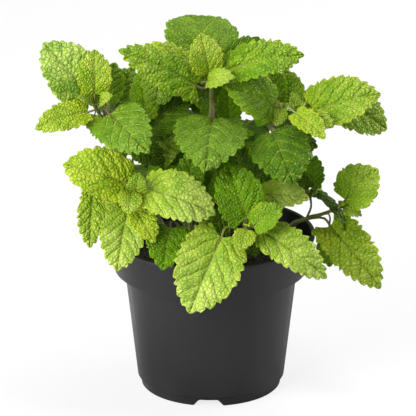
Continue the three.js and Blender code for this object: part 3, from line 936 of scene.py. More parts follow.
    def veins(
        self, leaf: Leaf, flat: FlatBlade, rng: Generator
    ) -> tuple[ndarray, ndarray]:
        """Counts the side veins over the blade.

        Args:
            leaf: The leaf.
            flat: Its flat blade.
            rng: The leaf's own random numbers.

        Returns:
            The count, which is whole on each vein, and the millimetres from vein to vein.
        """
        x, y, away = flat.x, flat.y, flat.away()
        pitch = leaf.directions()[3] / self.vein_pairs
        sway = rng.random(4) * 2 * math.pi
        wander = np.sin(0.3 * x + sway[0] + 0.5 * y) + np.sin(0.45 * y - 0.2 * x + sway[1])
        wander += 0.6 * np.sin(0.9 * x + sway[2]) * np.sin(0.7 * y + sway[3])
        ahead = x - self.vein_slant * away - self.vein_curve * away**2 / (leaf.width / 2)
        ahead = ahead + self.vein_wander * pitch * wander * np.minimum(flat.out() * 1.6, 1.0)
        fan = self.basal_fan * np.maximum(away, self.least_fan)
        vein = np.where(ahead > 0, ahead / pitch, np.maximum(ahead / fan, -self.basal_veins))
        widest = self.vein_gap * pitch
        return vein, np.where(ahead > 0, widest, np.minimum(self.basal_gap * fan, widest))

    def relief(
        self, leaf: Leaf, flat: FlatBlade, vein: ndarray, gap: ndarray,
        rng: Generator,
    ) -> tuple[ndarray, ndarray]:
        """Raises the blade between its veins and lets it wave.

        Args:
            leaf: The leaf.
            flat: Its flat blade.
            vein: The count of side veins at each point.
            gap: The millimetres from vein to vein there.
            rng: The leaf's own random numbers.

        Returns:
            Each point's lift in millimetres, and how far inside a coarse cell it is, up to 1.
        """
        size, quilted = flat.size, leaf.tone.value.quilt
        coarse = self.least_coarse_cell + (self.coarse_cell - self.least_coarse_cell) * size
        shift = 20 + 20 * rng.random(2)
        cells = quilt(flat.x / coarse + shift[0], flat.y / coarse + shift[1], rng)
        inside = flat.inside()
        swell = np.abs(np.sin(math.pi * vein)) ** 0.6 * inside
        swell = swell * np.clip(gap / self.pillow_gap, 0, 1)
        phase = rng.random(3) * 2 * math.pi
        wave = np.sin(
            2 * math.pi * self.ruffle_waves * flat.share + phase[0] + 0.8 * np.sign(flat.span)
        ) * flat.out() ** 2
        wave += 0.35 * np.cos(2 * math.pi * flat.tooth + phase[1] * 0.3) * flat.border
        bend = np.sin(math.pi * flat.share * 1.3 + phase[2]) * flat.span * 0.8
        lift = size * self.pillow * swell * (0.55 + 0.45 * quilted)
        lift += quilted * (0.3 + 0.7 * size) * self.dome * np.sqrt(cells) * (0.3 + 0.7 * inside)
        lift += self.ruffle * size * (wave + bend)
        lift -= self.midrib_depth * size * np.exp(-((flat.away() / (0.4 + 0.5 * size)) ** 2))
        drooping = smoothstep(self.droop_start, 1.0, flat.x / leaf.directions()[3])
        lift -= self.tip_droop * size * drooping**2
        return lift, cells

    def shape(
        self, leaf: Leaf, rng: Generator, materials: list[Material]
    ) -> Object:
        """Shapes one blade from a flat sheet, and stores what its material draws from.

        Args:
            leaf: The leaf.
            rng: The leaf's own random numbers.
            materials: The upper face's and the underside's material.

        Returns:
            The blade, still without its thickness.
        """
        tone = leaf.tone.value
        mesh, flat = self.flatten(leaf, rng)
        vein, gap = self.veins(leaf, flat, rng)
        lift, cells = self.relief(leaf, flat, vein, gap, rng)
        place_points(mesh, leaf.surface(flat.x, flat.y, lift))
        light = tone.light + 0.1 * (rng.random() - 0.5)
        cell = self.least_cell + (tone.cell - self.least_cell) * flat.size
        mark(mesh, "blade", vein, flat.span, gap)
        mark(mesh, "place", flat.x, flat.y, PATTERN_RANGE * rng.random())
        # The tone's light holds painted light and shade, and its pale the share of painted whitish sheen.
        mark(mesh, "tone", light, tone.pale, tone.rib)
        mark(mesh, "relief", tone.quilt, flat.share, cell)
        # The coarse cells stored here also set where painted shade darkens the creases between them.
        mark(mesh, "veins", tone.lines, cells, 0)
        return added(mesh, "blade", materials)


@dataclass(frozen=True)
class StalkForm:
    """A leaf's stalk, which runs on under the blade as its midrib, in millimetres.

    It is thinner on a small leaf: its size is least_size and the leaf's length over size_length
    together, up to 1. A stalk that is longer than short bends.
    """

    foot_radius: float = 1.0
    radius: float = 0.72
    rib_radius: float = 0.5
    rib_end_radius: float = 0.1
    rib_sink: float = 0.4
    least_size: float = 0.35
    size_length: float = 60.0
    bend: float = 0.4
    short: float = 8.0
    sides: int = 8
    rings_per_place: int = 3
    rib_rows: tuple[float, ...] = (0.12, 0.24, 0.36, 0.5, 0.64, 0.78, 0.9)

    def shape(
        self, stem: Stem, leaf: Leaf, rng: Generator, material: Material
    ) -> tuple[Object, Route]:
        """Shapes a stalk from inside the stem to the blade's tip.

        Args:
            stem: The stem that it grows from.
            leaf: Its leaf.
            rng: The leaf's own random numbers.
            material: The stalk's material.

        Returns:
            The stalk, and the route of its free part.
        """
        start = stem.route.point(stem.route.share_at(leaf.at))
        along, _, _, length = leaf.directions()
        size = min(1.0, self.least_size + length / self.size_length)
        base = leaf.start()
        reach = float(np.linalg.norm(base - start))
        bent = [base - along * self.bend * reach] if reach > self.short else []
        rows = np.array(self.rib_rows)
        rib_x, rib_y = leaf.flat(rows, rows, np.zeros(len(rows)))
        rib = leaf.surface(rib_x, rib_y, np.full(len(rows), -self.rib_sink * size))
        route = Route((start, *bent, base, *rib))
        spans = len(route.places) - 1
        shares = np.linspace(0, 1, self.rings_per_place * spans + 1)
        points, tangents = route.rings(shares)
        joint = (len(bent) + 1) / spans
        radii = np.interp(
            shares,
            [0, joint * 0.3, joint, min(0.99, joint + 0.05), 1],
            [self.foot_radius, self.radius, self.radius, self.rib_radius, self.rib_end_radius],
        )
        mesh, ring, angle = rod_along(points, tangents, radii * size, self.sides, 0.0)
        tone = leaf.tone.value
        blush = tone.rib * np.clip(1.2 - shares * 1.1, 0, 1)
        mark(mesh, "place", walk(points)[ring], angle, PATTERN_RANGE * rng.random())
        # The leaf's light, with its painted light and shade, also lightens or darkens its stalk.
        mark(mesh, "tone", tone.light, 0.0, blush[ring])
        return added(mesh, "stalk", [material]), Route((start, *bent, base))


@dataclass(frozen=True)
class StemForm:
    """A stem's cross-section and joints, in millimetres."""

    sides: int = 16
    ring_pitch: float = 1.6
    fewest_rings: int = 8
    corner: float = 0.09
    joint_swell: float = 0.3
    joint_length: float = 2.2

    def shape(
        self, stem: Stem, rng: Generator, material: Material
    ) -> Object:
        """Shapes a four-cornered stem that swells where leaves grow.

        Args:
            stem: The stem.
            rng: The stem's own random numbers.
            material: Its material.

        Returns:
            The stem.
        """
        places, walked = stem.route.shares_by_length(ROUTE_STEPS)
        count = max(self.fewest_rings, round(walked[-1] / self.ring_pitch))
        lengths = np.linspace(0, walked[-1], count + 1)
        shares = np.interp(lengths, walked, places)
        points, tangents = stem.route.rings(shares)
        radii = np.interp(lengths, [0, lengths[-1]], [stem.radius, stem.tip_radius])
        swell = np.zeros(len(lengths))
        for at in sorted({round(leaf.at, 1) for leaf in stem.leaves}):
            away = (lengths - at * lengths[-1]) / self.joint_length
            swell = np.maximum(swell, np.exp(-(away**2)))
        mesh, ring, angle = rod_along(
            points, tangents, radii + self.joint_swell * swell, self.sides, self.corner
        )
        age = 1 - lengths / lengths[-1]
        mark(mesh, "place", lengths[ring], angle, PATTERN_RANGE * rng.random())
        mark(mesh, "tone", 0.5, 0.0, np.clip(0.25 + 0.3 * age + 0.5 * swell, 0, 1)[ring])
        return added(mesh, "stem", [material])


@dataclass(frozen=True)
class HairForm:
    """The short hairs on stems and stalks, in millimetres.

    Each begins at the share rooted of the radius. lean tips it towards the end of its route, and
    spread turns it at random.
    """

    length: float = 0.8
    radius: float = 0.035
    per_millimetre: float = 2.2
    rooted: float = 0.9
    lean: float = 0.3
    spread: float = 0.2

    def shape(
        self,
        routes: list[tuple[Route, float, float]],
        rng: Generator,
        material: Material,
    ) -> Object:
        """Copies one small cone over the routes as hairs.

        Args:
            routes: Each route with the radius at its start and at its end.
            rng: The shoot's own random numbers.
            material: The hairs' material.

        Returns:
            One piece with all the hairs.
        """
        deselect_all()
        bpy.ops.mesh.primitive_cone_add(vertices=3, radius1=1, depth=1)
        blank = bpy.context.object
        blank.location = (0, 0, 0.5)
        rest_place(blank)
        corners, faces = taken(blank)
        spots, ways = [], []
        for route, first, last in routes:
            _, walked = route.shares_by_length(20)
            for share in rng.random(int(walked[-1] * self.per_millimetre)):
                tangent = route.tangent(share)
                way = unit(np.cross(tangent, rng.normal(size=3)))
                radius = first + (last - first) * share
                spots.append(route.point(share) + way * radius * self.rooted)
                ways.append(unit(way + self.lean * tangent + self.spread * rng.normal(size=3)))
        hairs = []
        for spot, way in zip(spots, ways):
            left = unit(np.cross(way, (0.3, 0.9, 0.2)))
            long = self.length * (0.6 + 0.8 * rng.random())
            hairs.append(
                spot
                + np.outer(corners[:, 0] * self.radius, left)
                + np.outer(corners[:, 1] * self.radius, np.cross(way, left))
                + np.outer(corners[:, 2] * long, way)
            )
        return copies(hairs, faces, "hairs", material)


Input = NodeSocket | float | Colour


@dataclass
class Graph:
    """A tree of shader nodes, written from values and sockets."""

    tree: NodeTree

    def node(self, kind: str, **settings: object) -> Node:
        """Adds a node and sets its properties."""
        made = self.tree.nodes.new(kind)
        for name, value in settings.items():
            setattr(made, name, value)
        return made

    def feed(self, target: NodeSocket, value: Input) -> None:
        """Links a socket to another, or sets its value."""
        if isinstance(value, NodeSocket):
            self.tree.links.new(value, target)
        else:
            target.default_value = value

    def fill(self, node: Node, **values: Input) -> Node:
        """Feeds a node's inputs by name, where _ stands for a space, and gives the node."""
        for name, value in values.items():
            self.feed(node.inputs[name.replace("_", " ")], value)
        return node

    def math(self, operation: str, *values: Input) -> NodeSocket:
        """Adds a Math node and gives its result."""
        made = self.node("ShaderNodeMath", operation=operation)
        for socket, value in zip(made.inputs, values):
            self.feed(socket, value)
        return made.outputs[0]

    def times(self, *values: Input) -> NodeSocket:
        """Multiplies values."""
        return reduce(partial(self.math, "MULTIPLY"), values)

    def plus(self, *values: Input) -> NodeSocket:
        """Adds values."""
        return reduce(partial(self.math, "ADD"), values)

    def less(self, value: Input, taken_off: Input) -> NodeSocket:
        """Takes one value off another."""
        return self.math("SUBTRACT", value, taken_off)

    def ratio(self, value: Input, by: Input) -> NodeSocket:
        """Divides one value by another."""
        return self.math("DIVIDE", value, by)

    def most(self, first: Input, second: Input) -> NodeSocket:
        """Gives the greater of two values."""
        return self.math("MAXIMUM", first, second)

    def distance(self, value: Input) -> NodeSocket:
        """Gives a value's distance from zero."""
        return self.math("ABSOLUTE", value)

    def ramp(self, value: NodeSocket, low: float, high: float, start: float, end: float) -> NodeSocket:
        """Maps low..high smoothly to start..end, clamped at both ends."""
        made = self.node("ShaderNodeMapRange", interpolation_type="SMOOTHSTEP")
        self.fill(made, Value=value, From_Min=low, From_Max=high, To_Min=start, To_Max=end)
        return made.outputs["Result"]

    def mix(self, share: Input, first: Input, second: Input) -> NodeSocket:
        """Mixes two colours."""
        made = self.node("ShaderNodeMix", data_type="RGBA")
        self.feed(made.inputs[0], share)
        self.feed(made.inputs[6], first)
        self.feed(made.inputs[7], second)
        return made.outputs[2]

    def parts(self, vector: NodeSocket) -> list[NodeSocket]:
        """Splits a vector into its three numbers."""
        return list(self.fill(self.node("ShaderNodeSeparateXYZ"), Vector=vector).outputs)

    def joined(self, x: Input, y: Input, z: Input = 0.0) -> NodeSocket:
        """Joins three numbers into a vector."""
        return self.fill(self.node("ShaderNodeCombineXYZ"), X=x, Y=y, Z=z).outputs[0]

    def attribute(self, name: str) -> NodeSocket:
        """Reads one of the piece's own attributes as a vector."""
        return self.node("ShaderNodeAttribute", attribute_name=name).outputs["Vector"]

    def where(self) -> NodeSocket:
        """Reads the place on the piece, in metres."""
        return self.node("ShaderNodeTexCoord").outputs["Object"]

    def group(self, tree: NodeTree, **values: Input) -> Node:
        """Adds a node group with its inputs fed by name."""
        return self.fill(self.node("ShaderNodeGroup", node_tree=tree), **values)


def new_group(
    name: str, vectors: list[str], numbers: list[str], results: list[str]
) -> tuple[Graph, dict[str, NodeSocket], dict[str, NodeSocket]]:
    """Makes an empty node group with named sockets.

    Args:
        name: The group's name.
        vectors: The names of the inputs that are vectors.
        numbers: The names of the inputs that are numbers.
        results: The names of the outputs, which are numbers.

    Returns:
        The group's graph, its inputs' sockets by name, and its outputs' sockets by name.
    """
    tree = bpy.data.node_groups.new(name, "ShaderNodeTree")
    for labels, way, kind in (
        (vectors, "INPUT", "NodeSocketVector"),
        (numbers, "INPUT", "NodeSocketFloat"),
        (results, "OUTPUT", "NodeSocketFloat"),
    ):
        for label in labels:
            tree.interface.new_socket(label, in_out=way, socket_type=kind)
    graph = Graph(tree)
    entry = graph.node("NodeGroupInput")
    leaving = graph.node("NodeGroupOutput")
    return (
        graph,
        {label: entry.outputs[label] for label in vectors + numbers},
        {label: leaving.inputs[label] for label in results},
    )


def mottle_group() -> NodeTree:
    """Makes the blotches of lighter and darker tone that every surface here has."""
    graph, given, made = new_group("mottle", ["Vector"], ["Coarse", "Fine"], ["Tone", "Grain"])
    for result, scale in (("Tone", "Coarse"), ("Grain", "Fine")):
        texture = graph.node("ShaderNodeTexNoise")
        graph.fill(texture, Vector=given["Vector"], Scale=given[scale])
        graph.feed(made[result], texture.outputs["Fac"])
    return graph.tree


def vein_group() -> NodeTree:
    """Makes a leaf's midrib, side veins and fine net from its own attributes.

    Blade, Place and Relief are the attributes that BladeForm stores. Carving is how deep the
    midrib and the side veins are cut, beside the height of the net's small domes.
    """
    graph, given, made = new_group(
        "leaf_veins",
        ["Blade", "Place", "Relief"],
        ["Carving"],
        ["Midrib", "Side Veins", "Net", "Dome", "Height"],
    )
    vein, span, gap = graph.parts(given["Blade"])
    ahead, across, shift = graph.parts(given["Place"])
    _, row, cell = graph.parts(given["Relief"])
    width = graph.ramp(row, 0.0, 1.0, 0.6, 0.2)
    away = graph.ratio(graph.distance(across), width)
    turn = graph.math("FRACT", graph.plus(vein, 0.5))
    near = graph.times(graph.distance(graph.less(turn, 0.5)), gap)
    thin = graph.ramp(graph.distance(span), 0.0, 1.0, 0.46, 0.24)
    beside = graph.ratio(near, thin)
    spot = graph.joined(graph.plus(graph.ratio(ahead, cell), shift), graph.ratio(across, cell))
    wobble = graph.node("ShaderNodeTexNoise", noise_dimensions="2D")
    graph.fill(wobble, Vector=spot, Scale=1.1)
    shifted = graph.node("ShaderNodeVectorMath", operation="MULTIPLY_ADD")
    for socket, value in zip(shifted.inputs, (wobble.outputs["Color"], (0.5, 0.5, 0), spot)):
        graph.feed(socket, value)
    distances = []
    for scale in (1.0, 2.3):
        net = graph.node("ShaderNodeTexVoronoi", voronoi_dimensions="2D", feature="DISTANCE_TO_EDGE")
        graph.fill(net, Vector=shifted.outputs[0], Scale=scale)
        distances.append(net.outputs["Distance"])
    broad, fine = distances
    faint = graph.times(graph.ramp(fine, 0.0, 0.12, 1.0, 0.0), 0.3)
    dome = graph.math("POWER", graph.math("MINIMUM", graph.times(broad, 2.3), 1.0), 0.65)
    small = graph.times(graph.ramp(fine, 0.0, 0.4, 0.0, 1.0), 0.12)
    valley = graph.ramp(beside, 0.0, 2.8, 1.0, 0.0)
    trough = graph.ramp(away, 0.0, 2.6, 1.0, 0.0)
    ridge = graph.less(1.0, graph.most(valley, trough))
    graph.feed(made["Midrib"], graph.ramp(away, 0.4, 1.3, 1.0, 0.0))
    graph.feed(made["Side Veins"], graph.ramp(beside, 0.3, 1.3, 1.0, 0.0))
    graph.feed(made["Net"], graph.most(graph.ramp(broad, 0.0, 0.1, 1.0, 0.0), faint))
    graph.feed(made["Dome"], dome)
    graph.feed(made["Height"], graph.plus(dome, small, graph.times(ridge, given["Carving"])))
    return graph.tree


def new_material(name: str) -> tuple[Material, Graph, Node]:
    """Makes a material with only its shader and output, ready to be fed.

    Args:
        name: The material's name.

    Returns:
        The material, its graph and its shader.
    """
    material = bpy.data.materials.new(name)
    material.use_nodes = True
    graph = Graph(material.node_tree)
    graph.tree.nodes.clear()
    shader = graph.node("ShaderNodeBsdfPrincipled")
    graph.fill(graph.node("ShaderNodeOutputMaterial"), Surface=shader.outputs["BSDF"])
    return material, graph, shader


def bump(
    graph: Graph, shader: Node, height: NodeSocket, distance: Input, strength: float
) -> None:
    """Feeds a height into a shader's normal.

    Args:
        graph: The material's graph.
        shader: Its shader.
        height: The height.
        distance: How high 1 stands, in metres.
        strength: The bump's strength.
    """
    made = graph.fill(
        graph.node("ShaderNodeBump"), Strength=strength, Distance=distance, Height=height
    )
    graph.fill(shader, Normal=made.outputs["Normal"])


CARVING = 1.6


@dataclass(frozen=True)
class LeafFinish:
    """The colours of one face of the leaves, with a painted sheen and painted groove shade."""

    name: str
    deep: Colour
    middle: Colour
    bright: Colour
    vein: Colour
    rib: Colour
    # Painted whitish sheen, laid on the raised cells.
    painted_sheen: Colour
    # The share of painted shade in the vein grooves and the net; below 0 it lightens them instead.
    groove_shade_share: float
    vein_share: float
    # How much of the painted sheen is laid on.
    painted_sheen_share: float
    roughness: float
    gloss: float
    subsurface: float
    relief: float

    def greens(self, graph: Graph, light: NodeSocket) -> NodeSocket:
        """Maps lightness to the leaf's greens."""
        scale = graph.fill(graph.node("ShaderNodeValToRGB"), Fac=light)
        scale.color_ramp.elements[0].color = self.deep
        scale.color_ramp.elements[1].color = self.bright
        scale.color_ramp.elements.new(0.5).color = self.middle
        return scale.outputs["Color"]

    def colour(self, graph: Graph, drawn: Node, blotch: Node) -> NodeSocket:
        """Colours the blade, with painted shade in grooves and creases and painted sheen on cells.

        Args:
            graph: The material's graph.
            drawn: The node that draws the veins.
            blotch: The node that draws blotches.

        Returns:
            The colour.
        """
        net, side, dome = (drawn.outputs[name] for name in ("Net", "Side Veins", "Dome"))
        light, pale, rib = graph.parts(graph.attribute("tone"))
        veined, coarse, _ = graph.parts(graph.attribute("veins"))
        _, span, _ = graph.parts(graph.attribute("blade"))
        _, row, _ = graph.parts(graph.attribute("relief"))
        shade = graph.times(graph.less(blotch.outputs["Tone"], 0.5), 0.6)
        margin = graph.ramp(graph.distance(span), 0.75, 1.05, 0.0, 0.14)
        # Painted shade: the vein grooves and the net are darkened, the more so where more sheen is
        # painted.
        shaded_grooves = graph.most(net, graph.times(side, 0.8))
        dark = graph.times(graph.ramp(pale, 0.0, 0.7, 0.35, 1.0), self.groove_shade_share)
        light = graph.less(graph.plus(light, margin, shade), graph.times(shaded_grooves, dark))
        # Painted sheen: a whitish highlight on the raised cells, in patches that grow towards the tip.
        raised = graph.ramp(dome, 0.2, 0.9, 0.55, 1.0)
        patch = graph.times(
            graph.ramp(blotch.outputs["Tone"], 0.35, 0.65, 0.45, 1.0),
            graph.ramp(row, 0.15, 0.8, 0.2, 1.0),
        )
        painted_sheen = graph.times(graph.times(pale, raised, patch), self.painted_sheen_share)
        colour = graph.mix(painted_sheen, self.greens(graph, light), self.painted_sheen)
        lines = graph.times(
            graph.most(side, graph.times(net, 0.4)), graph.times(veined, self.vein_share)
        )
        colour = graph.mix(lines, colour, self.vein)
        blush = graph.times(graph.ramp(row, 0.05, 0.75, 1.0, 0.0), rib)
        stripe = graph.mix(blush, graph.mix(0.35, colour, self.vein), self.rib)
        colour = graph.mix(graph.times(drawn.outputs["Midrib"], 0.8), colour, stripe)
        # Painted shade: darker green in the creases between the coarse cells.
        return graph.mix(graph.ramp(coarse, 0.0, 0.2, 0.15, 0.0), colour, self.deep)

    def material(self, veins: NodeTree, mottle: NodeTree) -> Material:
        """Makes the material.

        Args:
            veins: The group that draws the veins.
            mottle: The group that draws blotches.

        Returns:
            The material.
        """
        material, graph, shader = new_material(self.name)
        place, relief = graph.attribute("place"), graph.attribute("relief")
        veined, _, _ = graph.parts(graph.attribute("veins"))
        quilted, _, cell = graph.parts(relief)
        blotch = graph.group(mottle, Vector=place, Coarse=0.11, Fine=0.9)
        drawn = graph.group(
            veins,
            Blade=graph.attribute("blade"),
            Place=place,
            Relief=relief,
            Carving=graph.times(veined, CARVING),
        )
        grain = blotch.outputs["Grain"]
        crest = graph.ramp(drawn.outputs["Dome"], 0.25, 0.65, 0.0, 1.0)
        wet = graph.ramp(grain, 0.4, 0.6, 0.2, 1.0)
        graph.fill(
            shader,
            Base_Color=self.colour(graph, drawn, blotch),
            Roughness=graph.ramp(grain, 0.3, 0.7, self.roughness - 0.06, self.roughness + 0.08),
            Specular_IOR_Level=graph.times(crest, wet, self.gloss),
            Specular_Tint=(0.95, 1.0, 0.55, 1.0),
            Subsurface_Weight=self.subsurface,
            Subsurface_Radius=(0.7, 1.0, 0.08),
            Subsurface_Scale=1.6 * MM,
        )
        depth = graph.times(cell, quilted, self.relief * MM)
        bump(graph, shader, drawn.outputs["Height"], depth, 1.0)
        return material


UPPER_FACE = LeafFinish(
    name="leaf_upper_face",
    deep=(0.022, 0.078, 0.001, 1),
    middle=(0.116, 0.25, 0.002, 1),
    bright=(0.39, 0.47, 0.006, 1),
    vein=(0.44, 0.53, 0.07, 1),
    rib=(0.085, 0.05, 0.025, 1),
    # Painted light: the sheen colour next and its share further down paint a whitish sheen, and the net's
    # share paints shade into the vein grooves.
    painted_sheen=(0.62, 0.72, 0.25, 1),
    groove_shade_share=0.2,
    vein_share=0.9,
    painted_sheen_share=0.42,
    roughness=0.28,
    gloss=0.62,
    subsurface=0.4,
    relief=0.3,
)

UNDERSIDE = LeafFinish(
    name="leaf_underside",
    deep=(0.07, 0.15, 0.015, 1),
    middle=(0.16, 0.29, 0.035, 1),
    bright=(0.33, 0.46, 0.07, 1),
    vein=(0.42, 0.54, 0.16, 1),
    rib=(0.18, 0.13, 0.07, 1),
    # Painted light: the sheen colour next and its share further down paint a whitish sheen, and the net's
    # share, below 0, lightens the vein grooves.
    painted_sheen=(0.5, 0.62, 0.36, 1),
    groove_shade_share=-0.1,
    vein_share=0.8,
    painted_sheen_share=0.3,
    roughness=0.55,
    gloss=0.25,
    subsurface=0.4,
    relief=-0.1,
)


@dataclass(frozen=True)
class StemFinish:
    """The colours of stems and stalks."""

    name: str = "stem_skin"
    green: Colour = (0.085, 0.17, 0.012, 1)
    yellow: Colour = (0.24, 0.32, 0.03, 1)
    purple: Colour = (0.1, 0.05, 0.018, 1)
    roughness: float = 0.5

    def material(self, mottle: NodeTree) -> Material:
        """Makes a streaked green skin that turns purple-brown where its tone says so.

        Args:
            mottle: The group that draws blotches.

        Returns:
            The material.
        """
        material, graph, shader = new_material(self.name)
        along, angle, shift = graph.parts(graph.attribute("place"))
        streaked = graph.joined(graph.times(along, 0.12), graph.times(angle, 1.6), shift)
        blotch = graph.group(mottle, Vector=streaked, Coarse=1.0, Fine=6.0)
        blotched, grain = blotch.outputs["Tone"], blotch.outputs["Grain"]
        light, _, brown = graph.parts(graph.attribute("tone"))
        # On stalks the light carries their leaf's painted light and shade.
        tone = graph.plus(light, graph.less(blotched, 0.5))
        colour = graph.mix(graph.ramp(tone, 0.2, 1.0, 0, 1), self.green, self.yellow)
        share = graph.times(brown, graph.ramp(blotched, 0.3, 0.65, 0.5, 1.0))
        graph.fill(
            shader,
            Base_Color=graph.mix(share, colour, self.purple),
            Roughness=graph.ramp(grain, 0.3, 0.7, self.roughness - 0.1, self.roughness + 0.1),
            Subsurface_Weight=0.1,
            Subsurface_Radius=(0.6, 1.0, 0.2),
            Subsurface_Scale=1.0 * MM,
        )
        bump(graph, shader, grain, 0.15 * MM, 0.5)
        return material


@dataclass(frozen=True)
class HairFinish:
    """The pale hairs' colour."""

    name: str = "stem_hairs"
    colour: Colour = (0.42, 0.5, 0.2, 1)
    tip: Colour = (0.6, 0.66, 0.38, 1)

    def material(self, mottle: NodeTree) -> Material:
        """Makes a pale, faintly varied material.

        Args:
            mottle: The group that draws blotches.

        Returns:
            The material.
        """
        material, graph, shader = new_material(self.name)
        blotch = graph.group(mottle, Vector=graph.where(), Coarse=400.0, Fine=2000.0)
        varied = graph.mix(blotch.outputs["Tone"], self.colour, self.tip)
        graph.fill(shader, Base_Color=varied, Roughness=0.5)
        return material


@dataclass
class Foliage:
    """The leafy stems, each one piece that stands for its node. Sizes are in millimetres."""

    shoots: dict[str, list[Stem]]
    blade: BladeForm = BladeForm()
    stalk: StalkForm = StalkForm()
    stem: StemForm = StemForm()
    hair: HairForm = HairForm()
    bud_length: float = 6.5
    bud_width: float = 4.2
    bud_spread: float = 0.75
    bud_offset: float = 0.8

    def dress(self, veins: NodeTree, mottle: NodeTree) -> list[Object]:
        """Makes the materials and builds every shoot.

        Args:
            veins: The group that draws the leaves' veins.
            mottle: The group that draws blotches.

        Returns:
            The finished pieces.
        """
        faces = [UPPER_FACE.material(veins, mottle), UNDERSIDE.material(veins, mottle)]
        skin = StemFinish().material(mottle)
        down = HairFinish().material(mottle)
        made = []
        for number, (node, stems) in enumerate(self.shoots.items()):
            rng = np.random.default_rng(SEED + number)
            piece = self.build(node, stems, rng, faces, skin, down)
            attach(piece, "root")
            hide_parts(node)
            made.append(piece)
            leaves = sum(len(stem.leaves) for stem in stems)
            LOG.info("%s: %d leaves, %d faces", piece.name, leaves, len(piece.data.polygons))
        return made

    def buds(self, stem: Stem, rng: Generator) -> list[Leaf]:
        """Makes the pair of young folded leaves at the end of a stem.

        Args:
            stem: The stem.
            rng: The shoot's own random numbers.

        Returns:
            Two small leaves.
        """
        end = stem.route.point(1.0)
        way = stem.route.tangent(1.0)
        across = unit(np.cross(way, rng.normal(size=3)))
        pair = []
        for sign in (-1, 1):
            base = end + self.bud_offset * sign * across
            tip = end + self.bud_length * unit(way + self.bud_spread * sign * across)
            pair.append(Leaf(
                1.0, as_seen(base), as_seen(tip), self.bud_width, Tone.YOUNG, arch=0.2, cup=0.5
            ))
        return pair

    def build(
        self,
        node: str,
        stems: list[Stem],
        rng: Generator,
        faces: list[Material],
        skin: Material,
        down: Material,
    ) -> Object:
        """Builds one shoot.

        Args:
            node: The name of the node that it stands for.
            stems: Its stems.
            rng: Its own random numbers.
            faces: The leaves' upper and under material.
            skin: The stems' material.
            down: The hairs' material.

        Returns:
            The shoot as one piece.
        """
        blades, rods, routes = [], [], []
        for stem in stems:
            rods.append(self.stem.shape(stem, rng, skin))
            routes.append((stem.route, stem.radius, stem.tip_radius))
            for leaf in [*stem.leaves, *self.buds(stem, rng)]:
                blades.append(self.blade.shape(leaf, rng, faces))
                stalk, free = self.stalk.shape(stem, leaf, rng, skin)
                rods.append(stalk)
                routes.append((free, self.stalk.radius, self.stalk.radius))
        foliage = joined(blades, "blades")
        bpy.ops.object.mode_set(mode="EDIT")
        bpy.ops.mesh.select_all(action="SELECT")
        bpy.ops.mesh.remove_doubles(threshold=self.blade.merge_distance * MM)
        bpy.ops.object.mode_set(mode="OBJECT")
        wall = foliage.modifiers.new("thickness", "SOLIDIFY")
        wall.thickness = self.blade.thickness * MM
        wall.offset = 0.0
        wall.material_offset = 1
        apply_modifiers(foliage)
        hairs = self.hair.shape(routes, rng, down)
        piece = joined([foliage, *rods, hairs], node.replace("shoot", "leafy_stem"))
        piece.data.shade_smooth()
        return piece


def as_seen(point: ndarray) -> Place:
    """Turns a point of the part's frame into a place as seen from the front."""
    x, y, z = point
    return (x, z * math.cos(VIEW_ELEVATION) + y * math.sin(VIEW_ELEVATION), y)


def smooth_below(piece: Object, degrees: float) -> None:
    """Shades a piece smooth, apart from the edges that turn more than an angle."""
    pick(piece)
    bpy.ops.object.shade_smooth_by_angle(angle=math.radians(degrees))


def ring_body(profile: list[tuple[float, float]], sides: int, name: str) -> Object:
    """Raises a closed round body ring by ring from a disc.

    Args:
        profile: The radius and height of each ring in millimetres, from the first disc to the
            last one.
        sides: Faces round it.
        name: The piece's name.

    Returns:
        The piece, with its faces pointing out.
    """
    deselect_all()
    radius, height = profile[0]
    bpy.ops.mesh.primitive_circle_add(
        vertices=sides, radius=radius * MM, fill_type="NGON", location=(0, 0, height * MM)
    )
    piece = bpy.context.object
    piece.name = name
    rest_place(piece)
    bpy.ops.object.mode_set(mode="EDIT")
    bpy.ops.mesh.select_mode(type="EDGE")
    bpy.ops.mesh.select_all(action="SELECT")
    for next_radius, next_height in profile[1:]:
        bpy.ops.mesh.extrude_edges_move()
        growth = next_radius / radius
        bpy.ops.transform.resize(value=(growth, growth, 1), center_override=(0, 0, 0))
        bpy.ops.transform.translate(value=(0, 0, (next_height - height) * MM))
        radius, height = next_radius, next_height
    bpy.ops.mesh.edge_face_add()
    bpy.ops.mesh.select_all(action="SELECT")
    bpy.ops.mesh.normals_make_consistent(inside=False)
    bpy.ops.object.mode_set(mode="OBJECT")
    return piece


